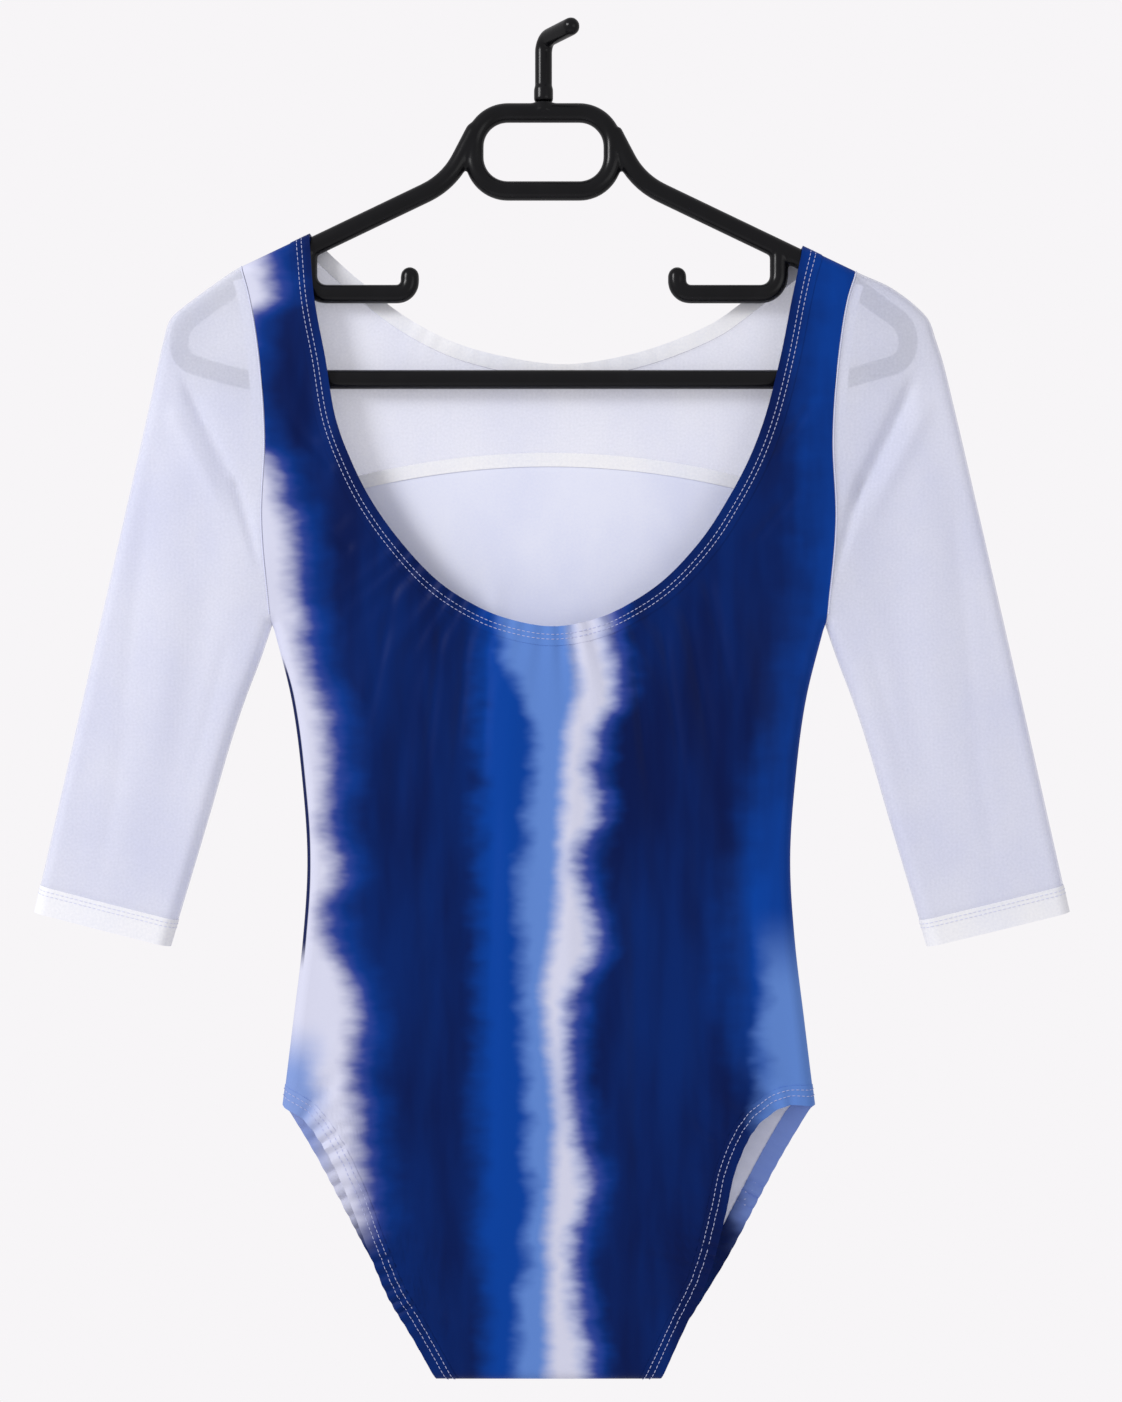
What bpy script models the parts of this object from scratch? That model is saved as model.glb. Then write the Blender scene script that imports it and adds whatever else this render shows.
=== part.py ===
"""Leotard with three-quarter mesh sleeves, hanging on a tubular plastic hanger.

The frame is in metres with +Z up. The origin is the place under the hanger hook where a rail
bears, +X is to the right as seen from the side with the deep neckline, and that side faces -Y.
Sizes below are in millimetres. A drop is a distance below the origin.
"""
import math

import bmesh
import bpy
import numpy as np

MM = 0.001

# Cloth
WALL = 1.2
SEAM = 0.3
EDGE_ROUND = 7.0
ARM_CLEAR = 1.0
RISE_REACH = 45.0
BAND_EXTRA = 0.3
NECK_BAND = 10.5
YOKE_BAND = 8.0
LEG_BAND = 10.5
CUFF_HEM = 15.0
ALLOWANCE_DEEP = 7.0
ALLOWANCE_WALL = 1.0

# Hanger
TUBE = 4.8
HANGER_X = -3.9
HANGER_Y = 11.2
ARM_APEX_DROP = 48.5
ARM_SLOPE = math.radians(25.6)
BAR_DROP = 182.2
# Corners of a shoulder end, from the arm to the trouser bar: distance from centre, drop, bend
ARM_CORNERS = (
    (168.0, 129.0, 60.0),
    (200.5, 153.0, 16.0),
    (200.5, 172.0, 12.0),
    (165.0, BAR_DROP, 40.0),
)
LOOP_HALF = 38.2
LOOP_TOP_DROP = 35.6
LOOP_BOTTOM_DROP = 78.5
LOOP_CORNER = 18.5
STRAP_HOOK_X = 129.5
STRAP_HOOK_TIP_X = 73.5
STRAP_HOOK_DROP = 135.2
STRAP_HOOK_TIP_DROP = 125.5
BOSS_TOP_DROP = 29.9
BOSS_RADII = (6.6, 5.3)
COLLAR_RADIUS = 5.0
COLLAR_HEIGHT = 7.6
HOOK_TUBE = 4.4
HOOK_TURN = math.radians(57.7)
HOOK_BEND = 6.5
HOOK_REACH = 32.4
STEM_START = 2.0
ARM_START_DROP = 46.0
ARM_TURN_X = 52.1
ARM_TURN_BEND = 42.0
STRAP_HOOK_TUBE = 4.6
STRAP_HOOK_BENDS = (10.0, 7.0)
DOME_ANGLES = (28, 54, 76)
SIDES = 12
BEND_STEP = math.radians(16.0)

GARMENT_X = -1.0
GARMENT_Y = HANGER_Y

# Each row is a height of the deep front neckline: drop, and its distance left and right of centre
FRONT_NECK = (
    (138.5, 128.2, 133.1),
    (171.5, 122.1, 126.5),
    (204.5, 116.4, 117.9),
    (226.5, 108.4, 109.5),
    (248.5, 97.4, 97.9),
    (270.5, 82.0, 83.6),
    (292.5, 61.6, 63.3),
    (305.0, 43.5, 45.5),
    (313.6, 24.0, 27.5),
)
FRONT_NECK_TOP = (131.2, 139.5)
FRONT_NECK_BOTTOM = (2.5, 318.3)
# The same for the shallow neckline of the back yoke
BACK_NECK = (
    (118.5, 114.0, 132.6),
    (130.2, 100.2, 117.7),
    (140.7, 87.5, 104.0),
    (149.5, 74.3, 91.3),
    (160.5, 52.3, 66.6),
    (168.2, 25.3, 40.7),
)
BACK_NECK_BOTTOM = (8.3, 172.6)
# Outlines that both sides share: drop, distance from centre
ARMHOLE_TOP = 168.3
ARMHOLE = (
    (138.5, 163.2),
    (171.5, 157.9),
    (215.5, 154.8),
    (259.5, 156.3),
    (303.5, 152.9),
    (316.7, 151.8),
)
SIDE_SEAM = (
    (316.7, 151.8),
    (358.5, 141.4),
    (402.5, 135.6),
    (446.5, 132.8),
    (490.5, 135.3),
    (534.5, 140.5),
    (581.0, 146.2),
)
FRONT_LEG_LEFT = (
    (581.0, 146.2),
    (587.5, 134.5),
    (604.5, 121.5),
    (629.0, 109.8),
    (656.0, 99.5),
    (684.0, 88.0),
    (707.0, 74.5),
    (731.4, 61.0),
)
FRONT_LEG_RIGHT = (
    (581.0, 146.2),
    (580.2, 130.0),
    (590.5, 114.0),
    (613.0, 102.5),
    (641.0, 96.0),
    (674.0, 87.0),
    (704.0, 73.2),
    (731.4, 61.0),
)
BACK_LEG = (
    (581.0, 146.2),
    (600.5, 134.8),
    (622.5, 122.7),
    (644.5, 111.1),
    (666.5, 99.3),
    (688.5, 85.8),
    (710.5, 72.0),
    (731.4, 61.0),
)
# Drop, distance left of centre, distance right of centre
SLEEVE_OUTER = (
    (131.0, 185.4, 186.6),
    (138.5, 195.6, 197.6),
    (142.6, 201.0, 202.4),
    (149.6, 208.3, 208.8),
    (161.1, 211.8, 212.9),
    (171.5, 214.2, 216.3),
    (193.5, 218.8, 221.8),
    (334.0, 250.6, 254.2),
    (474.5, 282.6, 286.0),
)
SLEEVE_INNER = (
    (316.7, 151.8),
    (336.5, 158.6),
    (358.5, 167.0),
    (380.5, 174.4),
    (424.5, 187.3),
    (493.6, 208.0),
)
YOKE_SEAM_CREST = 222.1
YOKE_SEAM_FALL = 12.6
YOKE_SEAM_AT = 104.5
HIP_TURN = 11.5
CROTCH_TURN = 12.0

# Half the depth of the hanging garment at a drop, on the body and on the sleeves
DEPTH_DROPS = (100.0, 190.0, 300.0, 450.0, 560.0, 650.0, 731.4)
BODY_DEPTH = (7.2, 8.6, 11.0, 10.4, 11.4, 9.6, 7.4)
SLEEVE_DEPTH = (7.6, 8.6, 8.4, 7.6, 7.6, 7.6, 7.6)
SLEEVE_FROM, SLEEVE_TO = 148.0, 190.0

# Soft folds: start x, start drop, end x, end drop, half width, depth (a ridge is negative)
FRONT_FOLDS = (
    (-47.0, 322.0, -44.0, 700.0, 13.0, 2.2),
    (-72.0, 318.0, -92.0, 470.0, 8.0, 1.3),
    (-90.0, 330.0, -112.0, 540.0, 12.0, -1.2),
    (-20.0, 330.0, -24.0, 560.0, 9.0, -1.2),
    (34.0, 326.0, 40.0, 520.0, 8.0, 1.2),
    (58.0, 322.0, 66.0, 640.0, 12.0, 1.6),
    (78.0, 312.0, 104.0, 500.0, 10.0, 1.0),
    (96.0, 292.0, 124.0, 420.0, 9.0, -1.1),
    (-124.0, 215.0, -138.0, 170.0, 6.0, 0.9),
    (-112.0, 262.0, -140.0, 226.0, 7.0, 0.9),
    (120.0, 250.0, 146.0, 205.0, 7.0, 0.9),
    (128.0, 205.0, 150.0, 160.0, 6.0, 0.8),
    (-104.0, 628.0, -70.0, 610.0, 7.0, 1.1),
    (96.0, 622.0, 64.0, 596.0, 7.0, 1.1),
    (-74.0, 684.0, -46.0, 704.0, 7.0, 0.8),
    (72.0, 682.0, 46.0, 702.0, 7.0, 0.8),
)
BACK_FOLDS = (
    (-60.0, 300.0, -50.0, 640.0, 14.0, 2.0),
    (22.0, 320.0, 16.0, 600.0, 12.0, -1.4),
    (70.0, 300.0, 62.0, 660.0, 14.0, 1.3),
    (-104.0, 340.0, -112.0, 520.0, 10.0, 1.2),
    (108.0, 360.0, 116.0, 540.0, 10.0, -1.1),
    (-92.0, 640.0, -50.0, 612.0, 9.0, 1.1),
    (92.0, 640.0, 52.0, 616.0, 9.0, 1.1),
)
SLEEVE_FOLDS = (
    (196.0, 192.0, 166.0, 262.0, 6.0, 1.5),
    (206.0, 230.0, 214.0, 420.0, 11.0, -0.9),
    (186.0, 300.0, 214.0, 440.0, 9.0, 0.9),
)

# Where the cloth starts and stops: the shoulder fold, and the arm's straight part
SHOULDER_FOLD_X = 95.0
SHOULDER_LINE_X = 172.0
# Gaps between a leg band and its panel at the hip, along the leg and at the crotch
HIP_GAP = 1.7 * SEAM
LEG_GAP = 1.4 * SEAM
CROTCH_GAP = 1.8 * SEAM
ALLOWANCE_INSET = 9.0
# A fold's start and end as shares of its length, and its distance from a folded edge
FOLD_START = (-0.08, 0.16)
FOLD_END = (1.06, 0.5)
FOLD_EDGE = (4.0, 14.0)
SLOPE_STEP = 0.4

# Grid steps
LEVELS = (0.0, 0.94, 3.5, 7.0)
OVER_ARM = (1.0, 1.0, 1.0, 1.0, 0.5, 0.15)
ARMHOLE_STEPS = 12
ARMHOLE_YOKE_STEPS = 7
SIDE_STEPS = 7
LEG_STEPS = 10
CROTCH_STEPS = 4
FRONT_ROWS = 9
BACK_COLUMNS = 24
OUTER_STOPS = (0.0, 0.05, 0.09, 0.125, 0.155, 0.185, 0.22, 0.27, 0.34, 0.43, 0.53, 0.64, 0.76, 0.88, 1.0)
INNER_STOPS = (0.0, 0.06, 0.11, 0.16, 0.21, 0.26, 0.31, 0.37, 0.44, 0.52, 0.6, 0.69, 0.79, 0.89, 1.0)
YOKE_ROWS = 6

NAVY = (0.012, 0.045, 0.20, 1.0)
SHEER = (0.80, 0.81, 0.93, 1.0)
BLACK = (0.012, 0.012, 0.014, 1.0)


def clear_scene():
    for thing in list(bpy.data.objects):
        bpy.data.objects.remove(thing)


def material(name, colour, roughness):
    made = bpy.data.materials.new(name)
    made.use_nodes = True
    shader = made.node_tree.nodes["Principled BSDF"]
    shader.inputs["Base Color"].default_value = colour
    shader.inputs["Roughness"].default_value = roughness
    shader.inputs["Metallic"].default_value = 0.0
    return made


def smoothstep(value):
    value = np.clip(value, 0.0, 1.0)
    return value * value * (3.0 - 2.0 * value)


def curve_through(points, per_span=24):
    """A dense smooth line through the points (centripetal Catmull-Rom)."""
    points = np.array(points, float)
    ends = np.vstack([2 * points[0] - points[1], points, 2 * points[-1] - points[-2]])
    line = []
    for p0, p1, p2, p3 in zip(ends, ends[1:], ends[2:], ends[3:]):
        knots = [0.0]
        for a, b in ((p0, p1), (p1, p2), (p2, p3)):
            knots.append(knots[-1] + math.sqrt(np.linalg.norm(b - a)))
        t0, t1, t2, t3 = knots
        for t in np.linspace(t1, t2, per_span, endpoint=False):
            a1 = ((t1 - t) * p0 + (t - t0) * p1) / (t1 - t0)
            a2 = ((t2 - t) * p1 + (t - t1) * p2) / (t2 - t1)
            a3 = ((t3 - t) * p2 + (t - t2) * p3) / (t3 - t2)
            b1 = ((t2 - t) * a1 + (t - t0) * a2) / (t2 - t0)
            b2 = ((t3 - t) * a2 + (t - t1) * a3) / (t3 - t1)
            line.append(((t2 - t) * b1 + (t - t1) * b2) / (t2 - t1))
    line.append(points[-1])
    return np.array(line)


def lengths_of(line):
    return np.concatenate([[0.0], np.cumsum(np.linalg.norm(np.diff(line, axis=0), axis=1))])


def sample(line, distances):
    """Points at the given distances along a line."""
    run = lengths_of(line)
    return np.stack([np.interp(distances, run, line[:, k]) for k in range(line.shape[1])], axis=1)


def spread(start, end, steps, head=(0.0,), tail=(0.0,)):
    """Distances from start to end: the head and tail levels, then equal steps between them."""
    first = [start + level for level in head]
    last = [end - level for level in reversed(tail)]
    between = steps - (len(head) - 1) - (len(tail) - 1)
    middle = np.linspace(first[-1], last[0], between + 1)
    return np.array(first[:-1] + list(middle) + last[1:])


def normals_of(points):
    """Unit normals to the left of a row of points, mitred at its corners."""
    steps = np.diff(points, axis=0)
    steps /= np.linalg.norm(steps, axis=1)[:, None]
    left = np.stack([-steps[:, 1], steps[:, 0]], axis=1)
    joined = np.vstack([left[:1], left[:-1] + left[1:], left[-1:]])
    joined /= np.linalg.norm(joined, axis=1)[:, None]
    near = np.vstack([left, left[-1:]])
    return joined / np.maximum((joined * near).sum(axis=1), 0.6)[:, None]


def shifted(points, width, start, end, shares=(1.0, 0.35, 0.08)):
    """The points moved to their left by a width. Near both ends they follow start and end."""
    moves = normals_of(points) * width
    for k, share in enumerate(shares):
        moves[k] = (1 - share) * moves[k] + share * np.array(start)
        moves[-1 - k] = (1 - share) * moves[-1 - k] + share * np.array(end)
    return points + moves


def shoulder_z(x):
    """Top of the cloth where it lies over the hanger's arm."""
    clear = TUBE + ARM_CLEAR + WALL
    return -ARM_APEX_DROP - math.tan(ARM_SLOPE) * abs(x - HANGER_X) + clear / math.cos(ARM_SLOPE)


def on_side(rows, side):
    return [(GARMENT_X + side * half, -drop) for drop, half in rows]


def neck_line(rows, bottom):
    """A neckline from the left shoulder, round the bottom, to the right shoulder."""
    left = [(GARMENT_X - row[1], -row[0]) for row in rows]
    right = [(GARMENT_X + row[2], -row[0]) for row in reversed(rows)]
    tops = [GARMENT_X - FRONT_NECK_TOP[0], GARMENT_X + FRONT_NECK_TOP[1]]
    ends = [(x, shoulder_z(x)) for x in tops]
    low = (GARMENT_X + bottom[0], -bottom[1])
    return curve_through([ends[0], *left, low, *right, ends[1]])


def armhole_line(side):
    top = GARMENT_X + side * ARMHOLE_TOP
    return curve_through([(top, shoulder_z(top)), *on_side(ARMHOLE, side)])


def sleeve_outer_line(side):
    along = [GARMENT_X + side * half for half in (ARMHOLE_TOP, SHOULDER_LINE_X)]
    rows = [(row[0], row[1 if side < 0 else 2]) for row in SLEEVE_OUTER]
    return curve_through([(x, shoulder_z(x)) for x in along] + on_side(rows, side))


def sleeve_inner_line(side):
    return curve_through(on_side(SLEEVE_INNER, side))


def side_line(side):
    return curve_through(on_side(SIDE_SEAM, side))


def leg_line(rows, side):
    return curve_through(on_side(rows, side))


def yoke_seam_z(x):
    return -(YOKE_SEAM_CREST + YOKE_SEAM_FALL * ((x - GARMENT_X) / YOKE_SEAM_AT) ** 2)


class FoldedEdges:
    """The lines where front and back meet. It gives a place's distance from them, and the way in."""

    def __init__(self):
        starts, ends, inward = [], [], []
        for side in (-1, 1):
            shoulder_end = GARMENT_X + side * SHOULDER_FOLD_X
            outer = np.vstack([[(shoulder_end, shoulder_z(shoulder_end))], sleeve_outer_line(side)])
            inner = sleeve_inner_line(side)
            outer = np.vstack([outer, outer[-1] + 10 * (outer[-1] - outer[-2])])
            inner = np.vstack([inner, inner[-1] + 10 * (inner[-1] - inner[-2])])
            rim = np.vstack([inner[::-1], side_line(side)[1:]])
            for line in (outer, rim):
                line = line[::4] if len(line) % 4 == 1 else np.vstack([line[::4], line[-1:]])
                step = np.diff(line, axis=0)
                step /= np.linalg.norm(step, axis=1)[:, None]
                starts.append(line[:-1])
                ends.append(line[1:])
                inward.append(-side * np.stack([-step[:, 1], step[:, 0]], axis=1))
        corner = BACK_LEG[-1]
        starts.append(np.array([(GARMENT_X - corner[1], -corner[0])]))
        ends.append(np.array([(GARMENT_X + corner[1], -corner[0])]))
        inward.append(np.array([(0.0, 1.0)]))
        self.starts = np.vstack(starts)
        self.steps = np.vstack(ends) - self.starts
        self.squares = (self.steps**2).sum(axis=1)
        self.inward = np.vstack(inward)

    def near(self, point):
        offset = point - self.starts
        share = np.clip((offset * self.steps).sum(axis=1) / self.squares, 0.0, 1.0)
        away = offset - share[:, None] * self.steps
        far = np.linalg.norm(away, axis=1)
        nearest = far.min()
        if nearest > 0.02:
            return nearest, away[far.argmin()] / nearest
        way = self.inward[far < nearest + 0.02].sum(axis=0)
        return 0.0, way / np.linalg.norm(way)


def fold_height(point, rows):
    """How far soft folds push the cloth out at a place. Troughs are negative."""
    total = 0.0
    for x1, drop1, x2, drop2, half_width, deep in rows:
        start = np.array([x1 + GARMENT_X, -drop1])
        run = np.array([x2 + GARMENT_X, -drop2]) - start
        offset = point - start
        share = (offset @ run) / (run @ run)
        across = (offset[0] * run[1] - offset[1] * run[0]) / math.sqrt(run @ run)
        starting = smoothstep((share - FOLD_START[0]) / FOLD_START[1])
        ending = smoothstep((FOLD_END[0] - share) / FOLD_END[1])
        total -= deep * starting * ending * math.exp(-((across / half_width) ** 2))
    return total


def mirrored_folds(rows):
    return [(-x1, drop1, -x2, drop2, half, deep) for x1, drop1, x2, drop2, half, deep in rows]


class Cloth:
    """The shape of the hanging garment: a point of its front or back over each place in its outline."""

    def __init__(self):
        self.edges = FoldedEdges()
        sleeves = list(SLEEVE_FOLDS) + mirrored_folds(SLEEVE_FOLDS)
        self.folds = {-1: list(FRONT_FOLDS) + sleeves, 1: list(BACK_FOLDS) + sleeves}

    def extra(self, point, face):
        far = self.edges.near(point)[0]
        body = np.interp(-point[1], DEPTH_DROPS, BODY_DEPTH)
        sleeve = np.interp(-point[1], DEPTH_DROPS, SLEEVE_DEPTH)
        out = smoothstep((abs(point[0] - GARMENT_X) - SLEEVE_FROM) / (SLEEVE_TO - SLEEVE_FROM))
        depth = body + (sleeve - body) * out
        rise = (depth - EDGE_ROUND) * smoothstep(far / RISE_REACH)
        near_edge = smoothstep((far - FOLD_EDGE[0]) / FOLD_EDGE[1])
        return rise + fold_height(point, self.folds[face]) * near_edge

    def at(self, point, face, outs, meet=SEAM / 2):
        """Points over a place, at distances out from the outer surface. face is -1 front, 1 back."""
        far, way = self.edges.near(point)
        inside = max(EDGE_ROUND - far, 0.0)
        height = math.sqrt(EDGE_ROUND**2 - inside**2)
        slope = np.array([
            (self.extra(point + step, face) - self.extra(point - step, face)) / (2 * SLOPE_STEP)
            for step in np.eye(2) * SLOPE_STEP
        ])
        flat = -(inside * way + height * slope)
        normal = np.array([flat[0], face * height, flat[1]])
        normal /= np.linalg.norm(normal)
        out = max(height + self.extra(point, face), meet)
        base = np.array([point[0], GARMENT_Y + face * out, point[1]])
        return [base + normal * distance for distance in outs]


def grid_over(cloth, places, face, outs):
    """The outer and inner points of a wall over a grid of places."""
    rows = [[cloth.at(place, face, outs) for place in row] for row in places]
    return np.array(rows).transpose(2, 0, 1, 3)


def wall(name, outer, inner, look, ring=False):
    """A closed cloth wall between two grids of points."""
    across, down = outer.shape[:2]
    mesh = bmesh.new()
    faces_of = []
    for grid in (outer, inner):
        faces_of.append([[mesh.verts.new(p * MM) for p in row] for row in grid])
    top, under = faces_of
    turns = across if ring else across - 1
    for i in range(turns):
        k = (i + 1) % across
        for j in range(down - 1):
            mesh.faces.new((top[i][j], top[k][j], top[k][j + 1], top[i][j + 1]))
            mesh.faces.new((under[i][j], under[i][j + 1], under[k][j + 1], under[k][j]))
        mesh.faces.new((top[i][0], under[i][0], under[k][0], top[k][0]))
        mesh.faces.new((top[i][-1], top[k][-1], under[k][-1], under[i][-1]))
    if not ring:
        for j in range(down - 1):
            mesh.faces.new((top[0][j], top[0][j + 1], under[0][j + 1], under[0][j]))
            mesh.faces.new((top[-1][j], under[-1][j], under[-1][j + 1], top[-1][j + 1]))
    bmesh.ops.recalc_face_normals(mesh, faces=mesh.faces)
    return add_mesh(name, mesh, look)


def add_mesh(name, mesh, look):
    data = bpy.data.meshes.new(name)
    mesh.to_mesh(data)
    mesh.free()
    data.materials.append(look)
    thing = bpy.data.objects.new(name, data)
    bpy.context.scene.collection.objects.link(thing)
    data.shade_smooth()
    data.set_sharp_from_angle(angle=math.radians(40))
    return thing


def panel(cloth, name, places, face, look, raised=0.0):
    outer, inner = grid_over(cloth, places, face, (raised, -WALL - raised))
    return wall(name, outer, inner, look)


class Outlines:
    """The sampled edges that neighbouring pieces share."""

    def __init__(self):
        self.armhole, self.side, self.out_along = {}, {}, {}
        for side in (-1, 1):
            line = armhole_line(side)
            total = lengths_of(line)[-1]
            self.armhole[side] = sample(line, self.armhole_places(line, total))
            line = side_line(side)
            total = lengths_of(line)[-1]
            self.side[side] = sample(line, spread(0, total - HIP_TURN - HIP_GAP, SIDE_STEPS))
            self.out_along[side] = np.array([side * math.cos(ARM_SLOPE), -math.sin(ARM_SLOPE)])

    @staticmethod
    def armhole_places(line, total):
        """Distances down an armhole, with one of them where the yoke seam ends."""
        run = lengths_of(line)
        below = line[:, 1] - np.array([yoke_seam_z(x) for x in line[:, 0]])
        seam = np.interp(0.0, -below, run)
        head = spread(0, seam, ARMHOLE_YOKE_STEPS, head=LEVELS)
        tail_steps = ARMHOLE_STEPS - ARMHOLE_YOKE_STEPS
        tail = spread(seam, total, tail_steps, tail=LEVELS)
        return np.concatenate([head, tail[1:]])

    def leg(self, rows, side):
        """A leg edge, the inner edge of its band, and the panel's edge beside that."""
        line = leg_line(rows, side)
        edge = sample(line, spread(0, lengths_of(line)[-1], LEG_STEPS))
        seam = side_line(side)
        hips = sample(seam, lengths_of(seam)[-1] - HIP_TURN - np.array([0.0, HIP_GAP]))
        inward = np.array([-side, 0.0])
        inner = shifted(edge, -side * LEG_BAND, hips[0] - edge[0], inward * CROTCH_TURN)
        seam_edge = shifted(inner, -side * LEG_GAP, hips[1] - hips[0], inward * CROTCH_GAP, (1.0,))
        return edge, inner, seam_edge

    def neck(self, rows, bottom, steps, width):
        """A neckline edge, and that edge moved into the cloth by a width."""
        line = neck_line(rows, bottom)
        levels = tuple(level / math.cos(ARM_SLOPE) for level in LEVELS)
        edge = sample(line, spread(0, lengths_of(line)[-1], steps, levels, levels))
        ends = [self.out_along[side] * width / math.cos(ARM_SLOPE) for side in (-1, 1)]
        return edge, shifted(edge, -width, *ends, OVER_ARM)


def between(first, last, steps):
    """Rows of points from one edge to another."""
    shares = np.linspace(0, 1, steps + 1)
    return [(1 - s) * first + s * last for s in shares]


def front_body(cloth, lines, look):
    """The printed front: a U from shoulder to shoulder round the deep neckline."""
    half = ARMHOLE_STEPS + SIDE_STEPS + LEG_STEPS
    steps = 2 * half + CROTCH_STEPS
    hem, inner = lines.neck(FRONT_NECK, FRONT_NECK_BOTTOM, steps, NECK_BAND + SEAM)
    inner_band = lines.neck(FRONT_NECK, FRONT_NECK_BOTTOM, steps, NECK_BAND)[1]
    parts = {}
    for side, rows in ((-1, FRONT_LEG_LEFT), (1, FRONT_LEG_RIGHT)):
        leg = lines.leg(rows, side)[2]
        parts[side] = np.vstack([lines.armhole[side], lines.side[side][1:], leg[1:]])
    crotch = np.linspace(parts[-1][-1], parts[1][-1], CROTCH_STEPS + 1)
    rim = np.vstack([parts[-1], crotch[1:-1], parts[1][::-1]])
    along = [lines.out_along[side] / math.cos(ARM_SLOPE) for side in (-1, 1)]
    insets = [shifted(rim, level, *[-level * a for a in along], OVER_ARM) for level in LEVELS]
    places = between(inner, insets[3], FRONT_ROWS) + [insets[2], insets[1], insets[0]]
    panel(cloth, "front_panel", np.array(places), -1, look)
    band = np.array(between(hem, inner_band, 2))
    panel(cloth, "neck_band_front", band, -1, look, BAND_EXTRA)
    for side, rows, name in ((-1, FRONT_LEG_LEFT, "left"), (1, FRONT_LEG_RIGHT, "right")):
        edge, inner, _ = lines.leg(rows, side)
        panel(cloth, f"leg_band_front_{name}", np.array(between(edge, inner, 2)), -1, look, BAND_EXTRA)


def rows_across(left, right, top, columns):
    """Rows of places between a left and a right edge. The first row follows top."""
    rows = []
    shares = np.linspace(0, 1, len(left))
    for j, (a, b) in enumerate(zip(left, right)):
        length = np.linalg.norm(b - a)
        along = spread(0, length, columns, LEVELS, LEVELS) / length
        row = a + along[:, None] * (b - a)
        bow = np.stack([np.zeros(len(along)), [top(p) for p in row]], axis=1)
        rows.append(row + (1 - shares[j]) ** 2 * bow)
    return rows


def back_body(cloth, lines, look):
    """The printed back below the yoke seam, and its leg bands."""
    edges = {}
    for side in (-1, 1):
        leg = lines.leg(BACK_LEG, side)[2]
        low = lines.armhole[side][ARMHOLE_YOKE_STEPS:]
        low = low + np.array([[0.0, -SEAM]]) * np.linspace(1, 0, len(low))[:, None]
        up = (leg[-2] - leg[-1]) / np.linalg.norm(leg[-2] - leg[-1])
        lift = leg[-1] + up * np.array([[LEVELS[3]], [LEVELS[2]], [LEVELS[1]]])
        edges[side] = np.vstack([low, lines.side[side][1:], leg[1:-1], lift, leg[-1:]])

    def bow(place):
        return yoke_seam_z(place[0]) - yoke_seam_z(edges[1][0][0])

    places = rows_across(edges[-1], edges[1], bow, BACK_COLUMNS)
    panel(cloth, "back_panel", np.array(places), 1, look)
    for side, name in ((-1, "left"), (1, "right")):
        edge, inner, _ = lines.leg(BACK_LEG, side)
        panel(cloth, f"leg_band_back_{name}", np.array(between(edge, inner, 2)), 1, look, BAND_EXTRA)


def back_yoke(cloth, lines, look):
    """The mesh yoke over the shoulders, its neck band, and the seam allowance under it."""
    steps = 2 * ARMHOLE_YOKE_STEPS + BACK_COLUMNS
    hem, inner = lines.neck(BACK_NECK, BACK_NECK_BOTTOM, steps, YOKE_BAND + SEAM)
    inner_band = lines.neck(BACK_NECK, BACK_NECK_BOTTOM, steps, YOKE_BAND)[1]
    left, right = (lines.armhole[side][: ARMHOLE_YOKE_STEPS + 1] for side in (-1, 1))
    foot_x = np.linspace(left[-1][0], right[-1][0], BACK_COLUMNS + 1)
    foot = np.stack([foot_x, [yoke_seam_z(x) for x in foot_x]], axis=1)
    rim = np.vstack([left, foot[1:-1], right[::-1]])
    panel(cloth, "back_yoke", np.array(between(inner, rim, YOKE_ROWS)), 1, look)
    panel(cloth, "neck_band_back", np.array(between(hem, inner_band, 2)), 1, look, BAND_EXTRA)
    strip_x = np.linspace(foot_x[0] + ALLOWANCE_INSET, foot_x[-1] - ALLOWANCE_INSET, BACK_COLUMNS + 1)
    strip = [[(x, yoke_seam_z(x) - SEAM - drop) for x in strip_x] for drop in (0.0, ALLOWANCE_DEEP)]
    depths = (-WALL - SEAM, -WALL - SEAM - ALLOWANCE_WALL)
    outer, inner = grid_over(cloth, np.array(strip), 1, depths)
    wall("yoke_seam_allowance", outer, inner, look)


def sleeve(cloth, lines, side, name, look):
    """A sleeve as one tube from the armhole to its hem, and the hem as a ring."""
    outer_line, inner_line = sleeve_outer_line(side), sleeve_inner_line(side)
    armhole = lines.armhole[side]
    totals = [lengths_of(line)[-1] for line in (outer_line, inner_line)]
    stops = [total - CUFF_HEM for total in totals]
    ends = [SEAM + np.array(row) * (stop - 2 * SEAM) for row, stop in zip((OUTER_STOPS, INNER_STOPS), stops)]
    outer, inner = sample(outer_line, ends[0]), sample(inner_line, ends[1])
    gap = side * normals_of(armhole) * SEAM
    first = armhole + gap
    first[0], first[-1] = outer[0], inner[0]
    rows = [row_over(a, b) for a, b in zip(outer, inner)]
    bend = first - rows[0]
    rows = [row + bend * (1 - stop) ** 2 for row, stop in zip(rows, OUTER_STOPS)]
    ring_wall(cloth, f"sleeve_{name}", np.array(rows), look, 0.0)
    hem = []
    for share in np.linspace(0, 1, 3):
        a = sample(outer_line, [stops[0] + share * CUFF_HEM])[0]
        b = sample(inner_line, [stops[1] + share * CUFF_HEM])[0]
        hem.append(row_over(a, b))
    ring_wall(cloth, f"cuff_hem_{name}", np.array(hem), look, BAND_EXTRA)


def row_over(a, b):
    """Places from a sleeve's outer fold to its inner fold."""
    length = np.linalg.norm(b - a)
    along = spread(0, length, ARMHOLE_STEPS, LEVELS, LEVELS) / length
    return a + along[:, None] * (b - a)


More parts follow.
